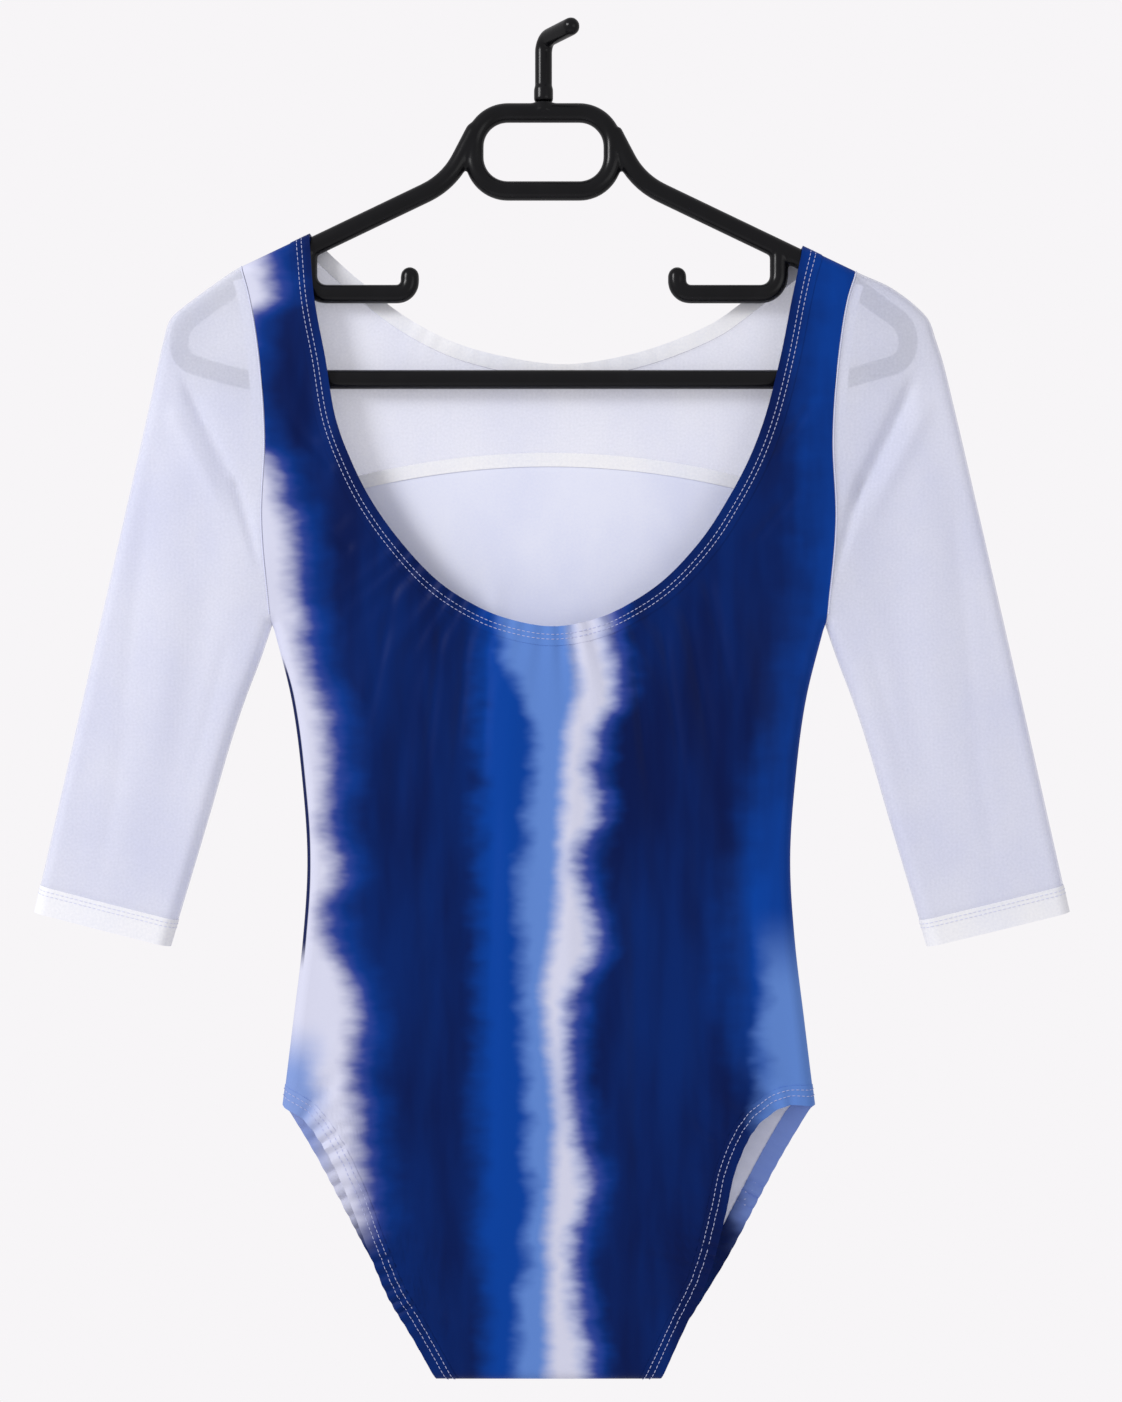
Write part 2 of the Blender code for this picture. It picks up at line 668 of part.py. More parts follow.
def ring_wall(cloth, name, places, look, raised):
    """A flattened tube over rows of places, front half and back half joined at both folds."""
    outs = (raised, -WALL - raised)
    rounds = []
    for row in places:
        front = [cloth.at(place, -1, outs, meet=0.0) for place in row]
        back = [cloth.at(place, 1, outs, meet=0.0) for place in row[1:-1]]
        rounds.append(front + back[::-1])
    grid = np.array(rounds).transpose(2, 1, 0, 3)
    wall(name, grid[0], grid[1], look, ring=True)


def rounded_path(corners):
    """A flat path through corners (across, up, bend radius), with each corner an arc."""
    points = [np.array(corners[0][:2], float)]
    for before, corner, after in zip(corners, corners[1:], corners[2:]):
        here = np.array(corner[:2], float)
        back = np.array(before[:2], float) - here
        on = np.array(after[:2], float) - here
        back /= np.linalg.norm(back)
        on /= np.linalg.norm(on)
        half = math.acos(np.clip(back @ on, -1, 1)) / 2
        middle = (back + on) / np.linalg.norm(back + on)
        centre = here + middle * corner[2] / math.sin(half)
        start = here + back * corner[2] / math.tan(half) - centre
        turn = math.pi - 2 * half
        way = np.sign(start[0] * (here - centre)[1] - start[1] * (here - centre)[0])
        steps = max(2, round(turn / BEND_STEP))
        for angle in np.linspace(0, way * turn, steps + 1):
            c, s = math.cos(angle), math.sin(angle)
            points.append(centre + np.array([c * start[0] - s * start[1], s * start[0] + c * start[1]]))
    points.append(np.array(corners[-1][:2], float))
    return np.array(points)


def tube(name, path, radius, look, closed=False, caps=(False, False), turned=0.0):
    """A round bar along a flat path that stands on the plane turned about the vertical."""
    if closed:
        before, after = np.roll(path, 1, axis=0), np.roll(path, -1, axis=0)
    else:
        before = np.vstack([2 * path[0] - path[1], path[:-1]])
        after = np.vstack([path[1:], 2 * path[-1] - path[-2]])
    steps_in = path - before
    steps_out = after - path
    steps_in /= np.linalg.norm(steps_in, axis=1)[:, None]
    steps_out /= np.linalg.norm(steps_out, axis=1)[:, None]
    along = steps_in + steps_out
    along /= np.linalg.norm(along, axis=1)[:, None]
    stations = [(p, t, radius) for p, t in zip(path, along)]
    if caps[0]:
        stations = dome(stations[0], -1)[::-1] + stations
    if caps[1]:
        stations = stations + dome(stations[-1], 1)
    over = np.array([math.cos(turned), -math.sin(turned), 0.0])
    level = np.array([math.sin(turned), math.cos(turned), 0.0])
    up = np.array([0.0, 0.0, 1.0])
    centre = np.array([HANGER_X, HANGER_Y, 0.0])
    mesh = bmesh.new()
    rings = []
    for place, way, size in stations:
        side = -way[1] * over + way[0] * up
        middle = centre + place[0] * over + place[1] * up
        ring = []
        for k in range(SIDES):
            angle = 2 * math.pi * k / SIDES
            out = math.cos(angle) * side + math.sin(angle) * level
            ring.append(mesh.verts.new((middle + size * out) * MM))
        rings.append(ring)
    count = len(rings) if closed else len(rings) - 1
    for i in range(count):
        here, there = rings[i], rings[(i + 1) % len(rings)]
        for k in range(SIDES):
            m = (k + 1) % SIDES
            mesh.faces.new((here[k], here[m], there[m], there[k]))
    if not closed:
        mesh.faces.new(rings[0][::-1])
        mesh.faces.new(rings[-1])
    bmesh.ops.recalc_face_normals(mesh, faces=mesh.faces)
    return add_mesh(name, mesh, look)


def dome(station, way):
    """Smaller and smaller rings that round a bar's end."""
    place, along, radius = station
    return [
        (place + way * along * radius * math.sin(angle), along, radius * math.cos(angle))
        for angle in np.radians(DOME_ANGLES)
    ]


def joined(base, others):
    """Unites helper bodies with base, by Boolean modifiers."""
    for other in others:
        cut = base.modifiers.new(other.name, "BOOLEAN")
        cut.operation = "UNION"
        cut.object = other
        other.hide_render = True
        other.display_type = "WIRE"


def cone(name, radii, low, high, look):
    mesh = bmesh.new()
    bmesh.ops.create_cone(
        mesh, cap_ends=True, segments=2 * SIDES, radius1=radii[0] * MM, radius2=radii[1] * MM,
        depth=(high - low) * MM,
    )
    middle = (HANGER_X * MM, HANGER_Y * MM, (low + high) / 2 * MM)
    bmesh.ops.translate(mesh, verts=mesh.verts, vec=middle)
    return add_mesh(name, mesh, look)


def hanger_frame(look):
    """The moulded frame: centre loop, arms, rounded ends, trouser bar and strap hooks."""
    loop_corners = [
        (x, -drop, LOOP_CORNER)
        for x, drop in (
            (LOOP_HALF, LOOP_TOP_DROP), (LOOP_HALF, LOOP_BOTTOM_DROP),
            (-LOOP_HALF, LOOP_BOTTOM_DROP), (-LOOP_HALF, LOOP_TOP_DROP),
        )
    ]
    start = (0.0, -LOOP_TOP_DROP, 0.0)
    loop = tube("hanger_frame", rounded_path([start, *loop_corners, start])[:-1], TUBE, look, closed=True)
    slope = math.tan(ARM_SLOPE)
    right = [
        (LOOP_HALF - 0.4, -ARM_START_DROP, 0.0),
        (ARM_TURN_X, -(ARM_APEX_DROP + slope * ARM_TURN_X), ARM_TURN_BEND),
        *[(x, -drop, bend) for x, drop, bend in ARM_CORNERS],
    ]
    left = [(-x, z, bend) for x, z, bend in reversed(right)]
    arms = tube("arms_and_bar", rounded_path(right + left), TUBE, look)
    helpers = [arms]
    for side in (-1, 1):
        top = ARM_APEX_DROP + slope * STRAP_HOOK_X
        corners = [
            (side * STRAP_HOOK_X, -top, 0.0),
            (side * STRAP_HOOK_X, -STRAP_HOOK_DROP, STRAP_HOOK_BENDS[0]),
            (side * STRAP_HOOK_TIP_X, -STRAP_HOOK_DROP, STRAP_HOOK_BENDS[1]),
            (side * STRAP_HOOK_TIP_X, -STRAP_HOOK_TIP_DROP, 0.0),
        ]
        path = rounded_path(corners)
        helpers.append(tube(f"strap_hook_{side}", path, STRAP_HOOK_TUBE, look, caps=(False, True)))
    helpers.append(cone("hook_boss", BOSS_RADII, -LOOP_TOP_DROP, -BOSS_TOP_DROP, look))
    joined(loop, helpers)


def hanger_hook(look):
    """The hook: a collar on the frame's boss, a stem, and a crown turned towards the front."""
    crown = HOOK_TUBE
    low = -BOSS_TOP_DROP + SEAM
    corners = [
        (0.0, low + STEM_START, 0.0),
        (0.0, crown, HOOK_BEND),
        (HOOK_REACH - HOOK_TUBE, crown, 0.0),
    ]
    hook = tube("hanger_hook", rounded_path(corners), HOOK_TUBE, look, caps=(False, True), turned=HOOK_TURN)
    collar = cone("hook_collar", (COLLAR_RADIUS, COLLAR_RADIUS), low, low + COLLAR_HEIGHT, look)
    joined(hook, [collar])


def main():
    clear_scene()
    print_cloth = material("printed_jersey", NAVY, 0.45)
    mesh_cloth = material("sheer_mesh", SHEER, 0.6)
    plastic = material("black_plastic", BLACK, 0.35)
    cloth, lines = Cloth(), Outlines()
    front_body(cloth, lines, print_cloth)
    back_body(cloth, lines, print_cloth)
    back_yoke(cloth, lines, mesh_cloth)
    for side, name in ((-1, "left"), (1, "right")):
        sleeve(cloth, lines, side, name, mesh_cloth)
    hanger_frame(plastic)
    hanger_hook(plastic)


main()
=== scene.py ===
"""Looks of a leotard with sheer mesh sleeves that hangs on a black plastic hanger.

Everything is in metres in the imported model's frame. Sizes in the classes are in millimetres, and a
drop is a distance below the hook's bearing point. The scoop faces -Y, and that side is called front.
"""

import logging
import math
from dataclasses import dataclass
from dataclasses import field
from enum import Enum
from typing import Any
from typing import Iterator
from typing import Sequence

import bmesh
import bpy
import numpy as np
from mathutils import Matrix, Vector


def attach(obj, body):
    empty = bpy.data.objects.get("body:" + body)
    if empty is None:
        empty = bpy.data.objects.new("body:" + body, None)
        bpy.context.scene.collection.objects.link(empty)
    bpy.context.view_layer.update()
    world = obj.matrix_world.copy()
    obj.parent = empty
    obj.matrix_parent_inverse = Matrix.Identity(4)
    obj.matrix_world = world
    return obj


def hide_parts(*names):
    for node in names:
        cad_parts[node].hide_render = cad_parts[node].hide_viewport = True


log = logging.getLogger("leotard")
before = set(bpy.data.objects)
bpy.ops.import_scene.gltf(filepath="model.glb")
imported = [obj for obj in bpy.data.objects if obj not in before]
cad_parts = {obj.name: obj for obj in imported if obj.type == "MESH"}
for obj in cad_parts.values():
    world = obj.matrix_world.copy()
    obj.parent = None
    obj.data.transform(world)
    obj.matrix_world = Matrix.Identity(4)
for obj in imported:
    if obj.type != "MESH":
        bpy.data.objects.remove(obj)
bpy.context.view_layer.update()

MM = 0.001
BODY = "root"
SNAP = 0.07
CHUNK = 6000
ARM_REACH = 22.0
HIP_REACH = 14.0
Rows = Sequence[tuple[float, ...]]
Points = np.ndarray


class Face(Enum):
    """Which side of the hanging garment a piece is on."""

    FRONT = -1
    BACK = 1


class Side(Enum):
    """Left or right in the photograph."""

    LEFT = -1
    RIGHT = 1

    @property
    def word(self) -> str:
        """The side's name in a piece's name."""
        return self.name.lower()


def smoothstep(value: Points | float) -> Points:
    """A soft step from 0 to 1."""
    value = np.clip(value, 0.0, 1.0)
    return value * value * (3.0 - 2.0 * value)


def curve_through(points: Rows, per_span: int = 24) -> Points:
    """Runs a dense smooth line through points.

    Args:
        points: The places that the line passes.
        per_span: Steps between one place and the next.

    Returns:
        The line's points, by centripetal Catmull-Rom.
    """
    places = np.array(points, float)
    ends = np.vstack([2 * places[0] - places[1], places, 2 * places[-1] - places[-2]])
    line = []
    for p0, p1, p2, p3 in zip(ends, ends[1:], ends[2:], ends[3:]):
        knots = [0.0]
        for a, b in ((p0, p1), (p1, p2), (p2, p3)):
            knots.append(knots[-1] + math.sqrt(np.linalg.norm(b - a)))
        t0, t1, t2, t3 = knots
        for t in np.linspace(t1, t2, per_span, endpoint=False):
            a1 = ((t1 - t) * p0 + (t - t0) * p1) / (t1 - t0)
            a2 = ((t2 - t) * p1 + (t - t1) * p2) / (t2 - t1)
            a3 = ((t3 - t) * p2 + (t - t2) * p3) / (t3 - t2)
            b1 = ((t2 - t) * a1 + (t - t0) * a2) / (t2 - t0)
            b2 = ((t3 - t) * a2 + (t - t1) * a3) / (t3 - t1)
            line.append(((t2 - t) * b1 + (t - t1) * b2) / (t2 - t1))
    line.append(places[-1])
    return np.array(line)


def lengths_of(line: Points) -> Points:
    """Distance along a line at each of its points."""
    return np.concatenate([[0.0], np.cumsum(np.linalg.norm(np.diff(line, axis=0), axis=1))])


def sample(line: Points, distances: Points) -> Points:
    """Points at the given distances along a line."""
    run = lengths_of(line)
    return np.stack([np.interp(distances, run, line[:, k]) for k in range(line.shape[1])], axis=1)


def spread(start: float, end: float, steps: int, head: Rows = (0.0,), tail: Rows = (0.0,)) -> Points:
    """Distances from start to end.

    Args:
        start: The first distance.
        end: The last one.
        steps: How many steps lie between them.
        head: Levels to place after the start.
        tail: Levels to place before the end.

    Returns:
        The distances, with equal steps between the head and the tail.
    """
    first = [start + level for level in head]
    last = [end - level for level in reversed(tail)]
    left_over = steps - (len(head) - 1) - (len(tail) - 1)
    middle = np.linspace(first[-1], last[0], left_over + 1)
    return np.array(first[:-1] + list(middle) + last[1:])


def normals_of(points: Points) -> Points:
    """Unit normals to the left of a row of points, mitred at its corners."""
    steps = np.diff(points, axis=0)
    steps /= np.linalg.norm(steps, axis=1)[:, None]
    left = np.stack([-steps[:, 1], steps[:, 0]], axis=1)
    joined = np.vstack([left[:1], left[:-1] + left[1:], left[-1:]])
    joined /= np.linalg.norm(joined, axis=1)[:, None]
    near = np.vstack([left, left[-1:]])
    return joined / np.maximum((joined * near).sum(axis=1), 0.6)[:, None]


def shifted(points: Points, width: float, start: Points, end: Points, reach: float) -> Points:
    """Moves a row of points to its left.

    Args:
        points: The row.
        width: How far it moves.
        start: How its first point moves instead.
        end: How its last point moves instead.
        reach: The distance from each end over which the end's move fades into the usual one.

    Returns:
        The moved row.
    """
    moves = normals_of(points) * width
    run = lengths_of(points)
    for distance, move in ((run, start), (run[-1] - run, end)):
        share = 1.0 - smoothstep(distance / reach)
        moves = (1 - share)[:, None] * moves + share[:, None] * np.array(move)
    return points + moves


def squeezed(points: Points, moved: Points, corners: Sequence[int], width: float) -> Points:
    """Draws a moved row together at sharp corners, where its points would pass each other.

    Args:
        points: The row before it moved.
        moved: The moved row.
        corners: The places of the corners in the row.
        width: How far it moved.

    Returns:
        The row to use.
    """
    run = lengths_of(points)
    for corner in corners:
        close = abs(run - run[corner]) < 1.3 * width + 0.4
        moved[close] = moved[corner] + 0.15 * (points[close] - points[corner])
    return moved


def between(first: Points, last: Points, shares: Points) -> Points:
    """Rows of points from one edge to another."""
    return np.array([(1 - s) * first + s * last for s in shares])


class Segments:
    """Straight spans of the garment's lines, against which places are measured."""

    def __init__(self, starts: Points, ends: Points) -> None:
        """Keeps the spans.

        Args:
            starts: Where each span starts.
            ends: Where each ends.
        """
        self.starts = starts
        self.steps = ends - starts
        self.squares = (self.steps**2).sum(axis=1)

    def nearest(self, places: Points) -> Iterator[tuple[slice, Points, Points, Points, Points]]:
        """Measures places against every span, some at a time.

        Args:
            places: An array of places, two numbers each.

        Yields:
            Which places they are, their distances from all spans, their nearest spans, and how far
            along and away from that span they lie.
        """
        for low in range(0, len(places), CHUNK):
            some = slice(low, low + CHUNK)
            offset = places[some, None, :] - self.starts[None]
            share = np.clip((offset * self.steps).sum(axis=2) / self.squares, 0.0, 1.0)
            away = offset - share[:, :, None] * self.steps
            distance = np.sqrt((away**2).sum(axis=2))
            best = distance.argmin(axis=1)
            row = np.arange(len(best))
            yield some, distance, best, share[row, best], away[row, best]


class EdgeLine:
    """A line on the garment that gives how far a place is from it, and where along it."""

    def __init__(self, line: Points, step: int = 3) -> None:
        """Keeps every few points of a dense line.

        Args:
            line: The dense line.
            step: How many of its points each kept span covers.
        """
        kept = np.vstack([line[:-1:step], line[-1:]])
        self.spans = Segments(kept[:-1], kept[1:])
        self.run = lengths_of(kept)

    def near(self, places: Points) -> tuple[Points, Points]:
        """Distances of places from the line, and the distances along it of their nearest points."""
        far = np.empty(len(places))
        along = np.empty(len(places))
        widths = np.diff(self.run)
        for some, distance, best, share, _ in self.spans.nearest(places):
            far[some] = distance.min(axis=1)
            along[some] = self.run[best] + share * widths[best]
        return far, along


@dataclass(frozen=True)
class Pucker:
    """Small gathers that an elastic or stitched edge pulls into the cloth beside it."""

    edge: EdgeLine
    wave: float
    depth: float
    reach: float
    seed: float
    strong: tuple[float, float] = (-1e6, 1e6)

    def height(self, places: Points) -> Points:
        """How far the gathers lift each place."""
        far, along = self.edge.near(places)
        phase = 2 * math.pi * along / self.wave
        uneven = 1.7 * np.sin(along / (2.3 * self.wave) + self.seed)
        uneven += 0.8 * np.sin(along / 5.1 + 2 * self.seed)
        size = 0.65 + 0.35 * np.sin(along / (1.7 * self.wave) + 3 * self.seed)
        low, high = self.strong
        held = smoothstep((along - low) / 40.0) * smoothstep((high - along) / 40.0)
        fade = np.exp(-((far / self.reach) ** 1.3))
        return self.depth * size * held * fade * np.sin(phase + uneven)


@dataclass(frozen=True)
class Leotard:
    """The hanging garment's outlines and form. It gives points of its front and back."""

    wall: float = 0.9
    edge_round: float = 7.0
    rise_reach: float = 45.0
    centre_x: float = -1.0
    middle_y: float = 11.2
    hanger_x: float = -3.9
    arm_apex_drop: float = 48.5
    arm_slope: float = math.radians(25.6)
    arm_over: float = 7.0
    neck_band: float = 10.5
    yoke_band: float = 8.0
    leg_band: float = 10.5
    cuff_hem: float = 15.0
    hip_turn: float = 11.5
    crotch_turn: float = 12.0
    under_band: float = 0.45
    armhole_top: float = 168.3
    shoulder_necks: tuple[float, float] = (131.2, 139.5)
    yoke_seam_crest: float = 222.1
    yoke_seam_fall: float = 12.6
    yoke_seam_at: float = 104.5
    sleeve_from: float = 148.0
    sleeve_to: float = 190.0
    # Drop, and distances left and right of centre
    front_neck: Rows = (
        (138.5, 128.2, 133.1), (171.5, 122.1, 126.5), (204.5, 116.4, 117.9), (226.5, 108.4, 109.5),
        (248.5, 97.4, 97.9), (270.5, 82, 83.6), (292.5, 61.6, 63.3), (305, 43.5, 45.5), (313.6, 24, 27.5),
    )
    front_neck_bottom: tuple[float, float] = (2.5, 318.3)
    back_neck: Rows = (
        (118.5, 114, 132.6), (130.2, 100.2, 117.7), (140.7, 87.5, 104), (149.5, 74.3, 91.3),
        (160.5, 52.3, 66.6), (168.2, 25.3, 40.7),
    )
    back_neck_bottom: tuple[float, float] = (8.3, 172.6)
    # Drop, and distance from centre
    armhole: Rows = (
        (138.5, 163.2), (171.5, 157.9), (215.5, 154.8), (259.5, 156.3), (303.5, 152.9), (316.7, 151.8),
    )
    side_seam: Rows = (
        (316.7, 151.8), (358.5, 141.4), (402.5, 135.6), (446.5, 132.8), (490.5, 135.3), (534.5, 140.5),
        (581, 146.2),
    )
    front_leg_left: Rows = (
        (581, 146.2), (587.5, 134.5), (604.5, 121.5), (629, 109.8), (656, 99.5), (684, 88), (707, 74.5),
        (731.4, 61),
    )
    front_leg_right: Rows = (
        (581, 146.2), (580.2, 130), (590.5, 114), (613, 102.5), (641, 96), (674, 87), (704, 73.2),
        (731.4, 61),
    )
    back_leg: Rows = (
        (581, 146.2), (600.5, 134.8), (622.5, 122.7), (644.5, 111.1), (666.5, 99.3), (688.5, 85.8),
        (710.5, 72), (731.4, 61),
    )
    # Drop, distance left of centre, distance right of centre
    sleeve_outer: Rows = (
        (131, 185.4, 186.6), (138.5, 195.6, 197.6), (142.6, 201, 202.4), (149.6, 208.3, 208.8),
        (161.1, 211.8, 212.9), (171.5, 214.2, 216.3), (193.5, 218.8, 221.8), (334, 250.6, 254.2),
        (474.5, 282.6, 286),
    )
    sleeve_inner: Rows = (
        (316.7, 151.8), (336.5, 158.6), (358.5, 167), (380.5, 174.4), (424.5, 187.3), (493.6, 208),
    )
    depth_drops: tuple[float, ...] = (100.0, 190.0, 300.0, 450.0, 560.0, 650.0, 731.4)
    body_depth: tuple[float, ...] = (7.2, 8.6, 11.0, 10.4, 11.4, 9.6, 7.4)
    sleeve_depth: tuple[float, ...] = (7.6, 8.6, 8.4, 7.6, 7.6, 7.6, 7.6)
    # Folds: start x, start drop, end x, end drop, half width, depth (a ridge is negative)
    front_folds: Rows = (
        (-47, 322, -44, 700, 13, 2.2), (-72, 318, -92, 470, 8, 1.3), (-90, 330, -112, 540, 12, -1.2),
        (-20, 330, -24, 560, 9, -1.2), (34, 326, 40, 520, 8, 1.2), (58, 322, 66, 640, 12, 2),
        (78, 312, 104, 500, 10, 1.6), (96, 292, 124, 420, 9, -1.1), (-124, 215, -138, 170, 6, 0.9),
        (-112, 262, -140, 226, 7, 0.9), (120, 250, 146, 205, 7, 0.9), (128, 205, 150, 160, 6, 0.8),
        (-104, 628, -70, 610, 7, 1.1), (96, 622, 64, 596, 7, 1.1), (-74, 684, -46, 704, 7, 0.8),
        (72, 682, 46, 702, 7, 0.8),
    )
    fine_front_folds: Rows = (
        (-58, 316, -70, 420, 3.4, 1.2), (-44, 322, -52, 400, 3, 1.05), (-33, 326, -36, 410, 3, 1.05),
        (-84, 296, -100, 380, 3.6, 1.05), (46, 324, 54, 410, 3, 1.2), (62, 316, 76, 420, 3.2, 1.2),
        (74, 306, 92, 400, 3.6, 1.2), (86, 292, 106, 380, 3.6, 1.05), (-66, 430, -60, 640, 6, 1.35),
        (-30, 420, -34, 690, 5, 1.35), (12, 380, 10, 600, 6, -0.9), (46, 440, 50, 690, 5, 1.5),
        (82, 430, 84, 610, 6, 1.35), (-110, 440, -106, 560, 6, 1.05), (106, 430, 112, 560, 6, 1.05),
        (-98, 640, -64, 632, 3.4, 1.05), (-90, 662, -56, 660, 3.2, 1.05), (-78, 690, -44, 706, 3.2, 0.9),
        (98, 606, 66, 570, 3.6, 1.05), (90, 640, 58, 622, 3.4, 1.05), (82, 668, 50, 660, 3.2, 1.05),
        (-136, 588, -112, 560, 4, 0.9), (126, 574, 100, 548, 4, 0.9), (-118, 232, -146, 200, 3.2, 0.9),
        (-108, 276, -134, 252, 3.4, 0.9), (112, 272, 142, 236, 3.4, 0.9), (124, 226, 150, 186, 3, 0.9),
    )
    back_folds: Rows = (
        (-60, 300, -50, 640, 14, 2), (22, 320, 16, 600, 12, -1.4), (70, 300, 62, 660, 14, 1.8),
        (-104, 340, -112, 520, 10, 1.2), (108, 360, 116, 540, 10, -1.1), (-92, 640, -50, 612, 9, 1.1),
        (92, 640, 52, 616, 9, 1.1),
    )
    fine_back_folds: Rows = (
        (-30, 300, -36, 520, 5, 1.12), (44, 330, 40, 560, 5, 1.12), (-84, 380, -78, 600, 6, 1.12),
        (90, 400, 84, 600, 6, 1.12), (-110, 620, -70, 600, 4, 0.98), (104, 628, 70, 606, 4, 0.98),
        (-84, 668, -48, 664, 3.6, 0.84), (82, 668, 48, 664, 3.6, 0.84),
    )
    sleeve_folds: Rows = (
        (196, 192, 166, 262, 6, 1.5), (206, 230, 214, 420, 11, -0.9), (186, 300, 214, 440, 9, 0.9),
    )
    fine_sleeve_folds: Rows = (
        (199, 186, 158, 268, 3, 2.4), (172, 238, 156, 290, 2.6, 1.8), (206, 200, 170, 266, 5, -1.4),
        (222, 260, 236, 400, 5, 0.6), (176, 330, 200, 420, 4, 0.6), (232, 380, 246, 460, 5, 0.5),
    )

    def on_side(self, rows: Rows, side: Side) -> list[tuple[float, float]]:
        """Places at the rows' drops, on one side of the garment."""
        return [(self.centre_x + side.value * half, -drop) for drop, half in rows]

    def leg_rows(self, side: Side, face: Face) -> Rows:
        """The outline of a leg edge."""
        if face is Face.BACK:
            return self.back_leg
        return self.front_leg_left if side is Side.LEFT else self.front_leg_right

    def shoulder_z(self, x: float) -> float:
        """Top of the cloth where it lies over the hanger's arm."""
        low = math.tan(self.arm_slope) * abs(x - self.hanger_x)
        return -self.arm_apex_drop - low + self.arm_over / math.cos(self.arm_slope)

    def out_along(self, side: Side) -> Points:
        """The way down a hanger arm, outwards."""
        return np.array([side.value * math.cos(self.arm_slope), -math.sin(self.arm_slope)])

    def neck_line(self, rows: Rows, bottom: tuple[float, float]) -> Points:
        """A neckline from the left shoulder, round its lowest point, to the right shoulder."""
        left = [(self.centre_x - row[1], -row[0]) for row in rows]
        right = [(self.centre_x + row[2], -row[0]) for row in reversed(rows)]
        tops = [self.centre_x - self.shoulder_necks[0], self.centre_x + self.shoulder_necks[1]]
        ends = [(x, self.shoulder_z(x)) for x in tops]
        return curve_through([ends[0], *left, (self.centre_x + bottom[0], -bottom[1]), *right, ends[1]])

    def armhole_line(self, side: Side) -> Points:
        """An armhole seam from the shoulder to under the arm."""
        top = self.centre_x + side.value * self.armhole_top
        return curve_through([(top, self.shoulder_z(top)), *self.on_side(self.armhole, side)])

    def sleeve_outer_line(self, side: Side) -> Points:
        """A sleeve's outer fold from the shoulder to the hem."""
        along = [self.centre_x + side.value * half for half in (self.armhole_top, 172.0)]
        rows = [(row[0], row[1 if side is Side.LEFT else 2]) for row in self.sleeve_outer]
        return curve_through([(x, self.shoulder_z(x)) for x in along] + self.on_side(rows, side))

    def sleeve_inner_line(self, side: Side) -> Points:
        """A sleeve's inner fold from under the arm to the hem."""
        return curve_through(self.on_side(self.sleeve_inner, side))

    def side_line(self, side: Side) -> Points:
        """A side seam from under the arm to the hip."""
        return curve_through(self.on_side(self.side_seam, side))

    def yoke_seam_z(self, x: Points) -> Points:
        """Height of the curved yoke seam."""
        return -(self.yoke_seam_crest + self.yoke_seam_fall * ((x - self.centre_x) / self.yoke_seam_at) ** 2)


def mirrored(rows: Rows) -> list[tuple[float, ...]]:
    """Fold rows moved to the other side of the garment."""
    return [(-x1, drop1, -x2, drop2, half, deep) for x1, drop1, x2, drop2, half, deep in rows]


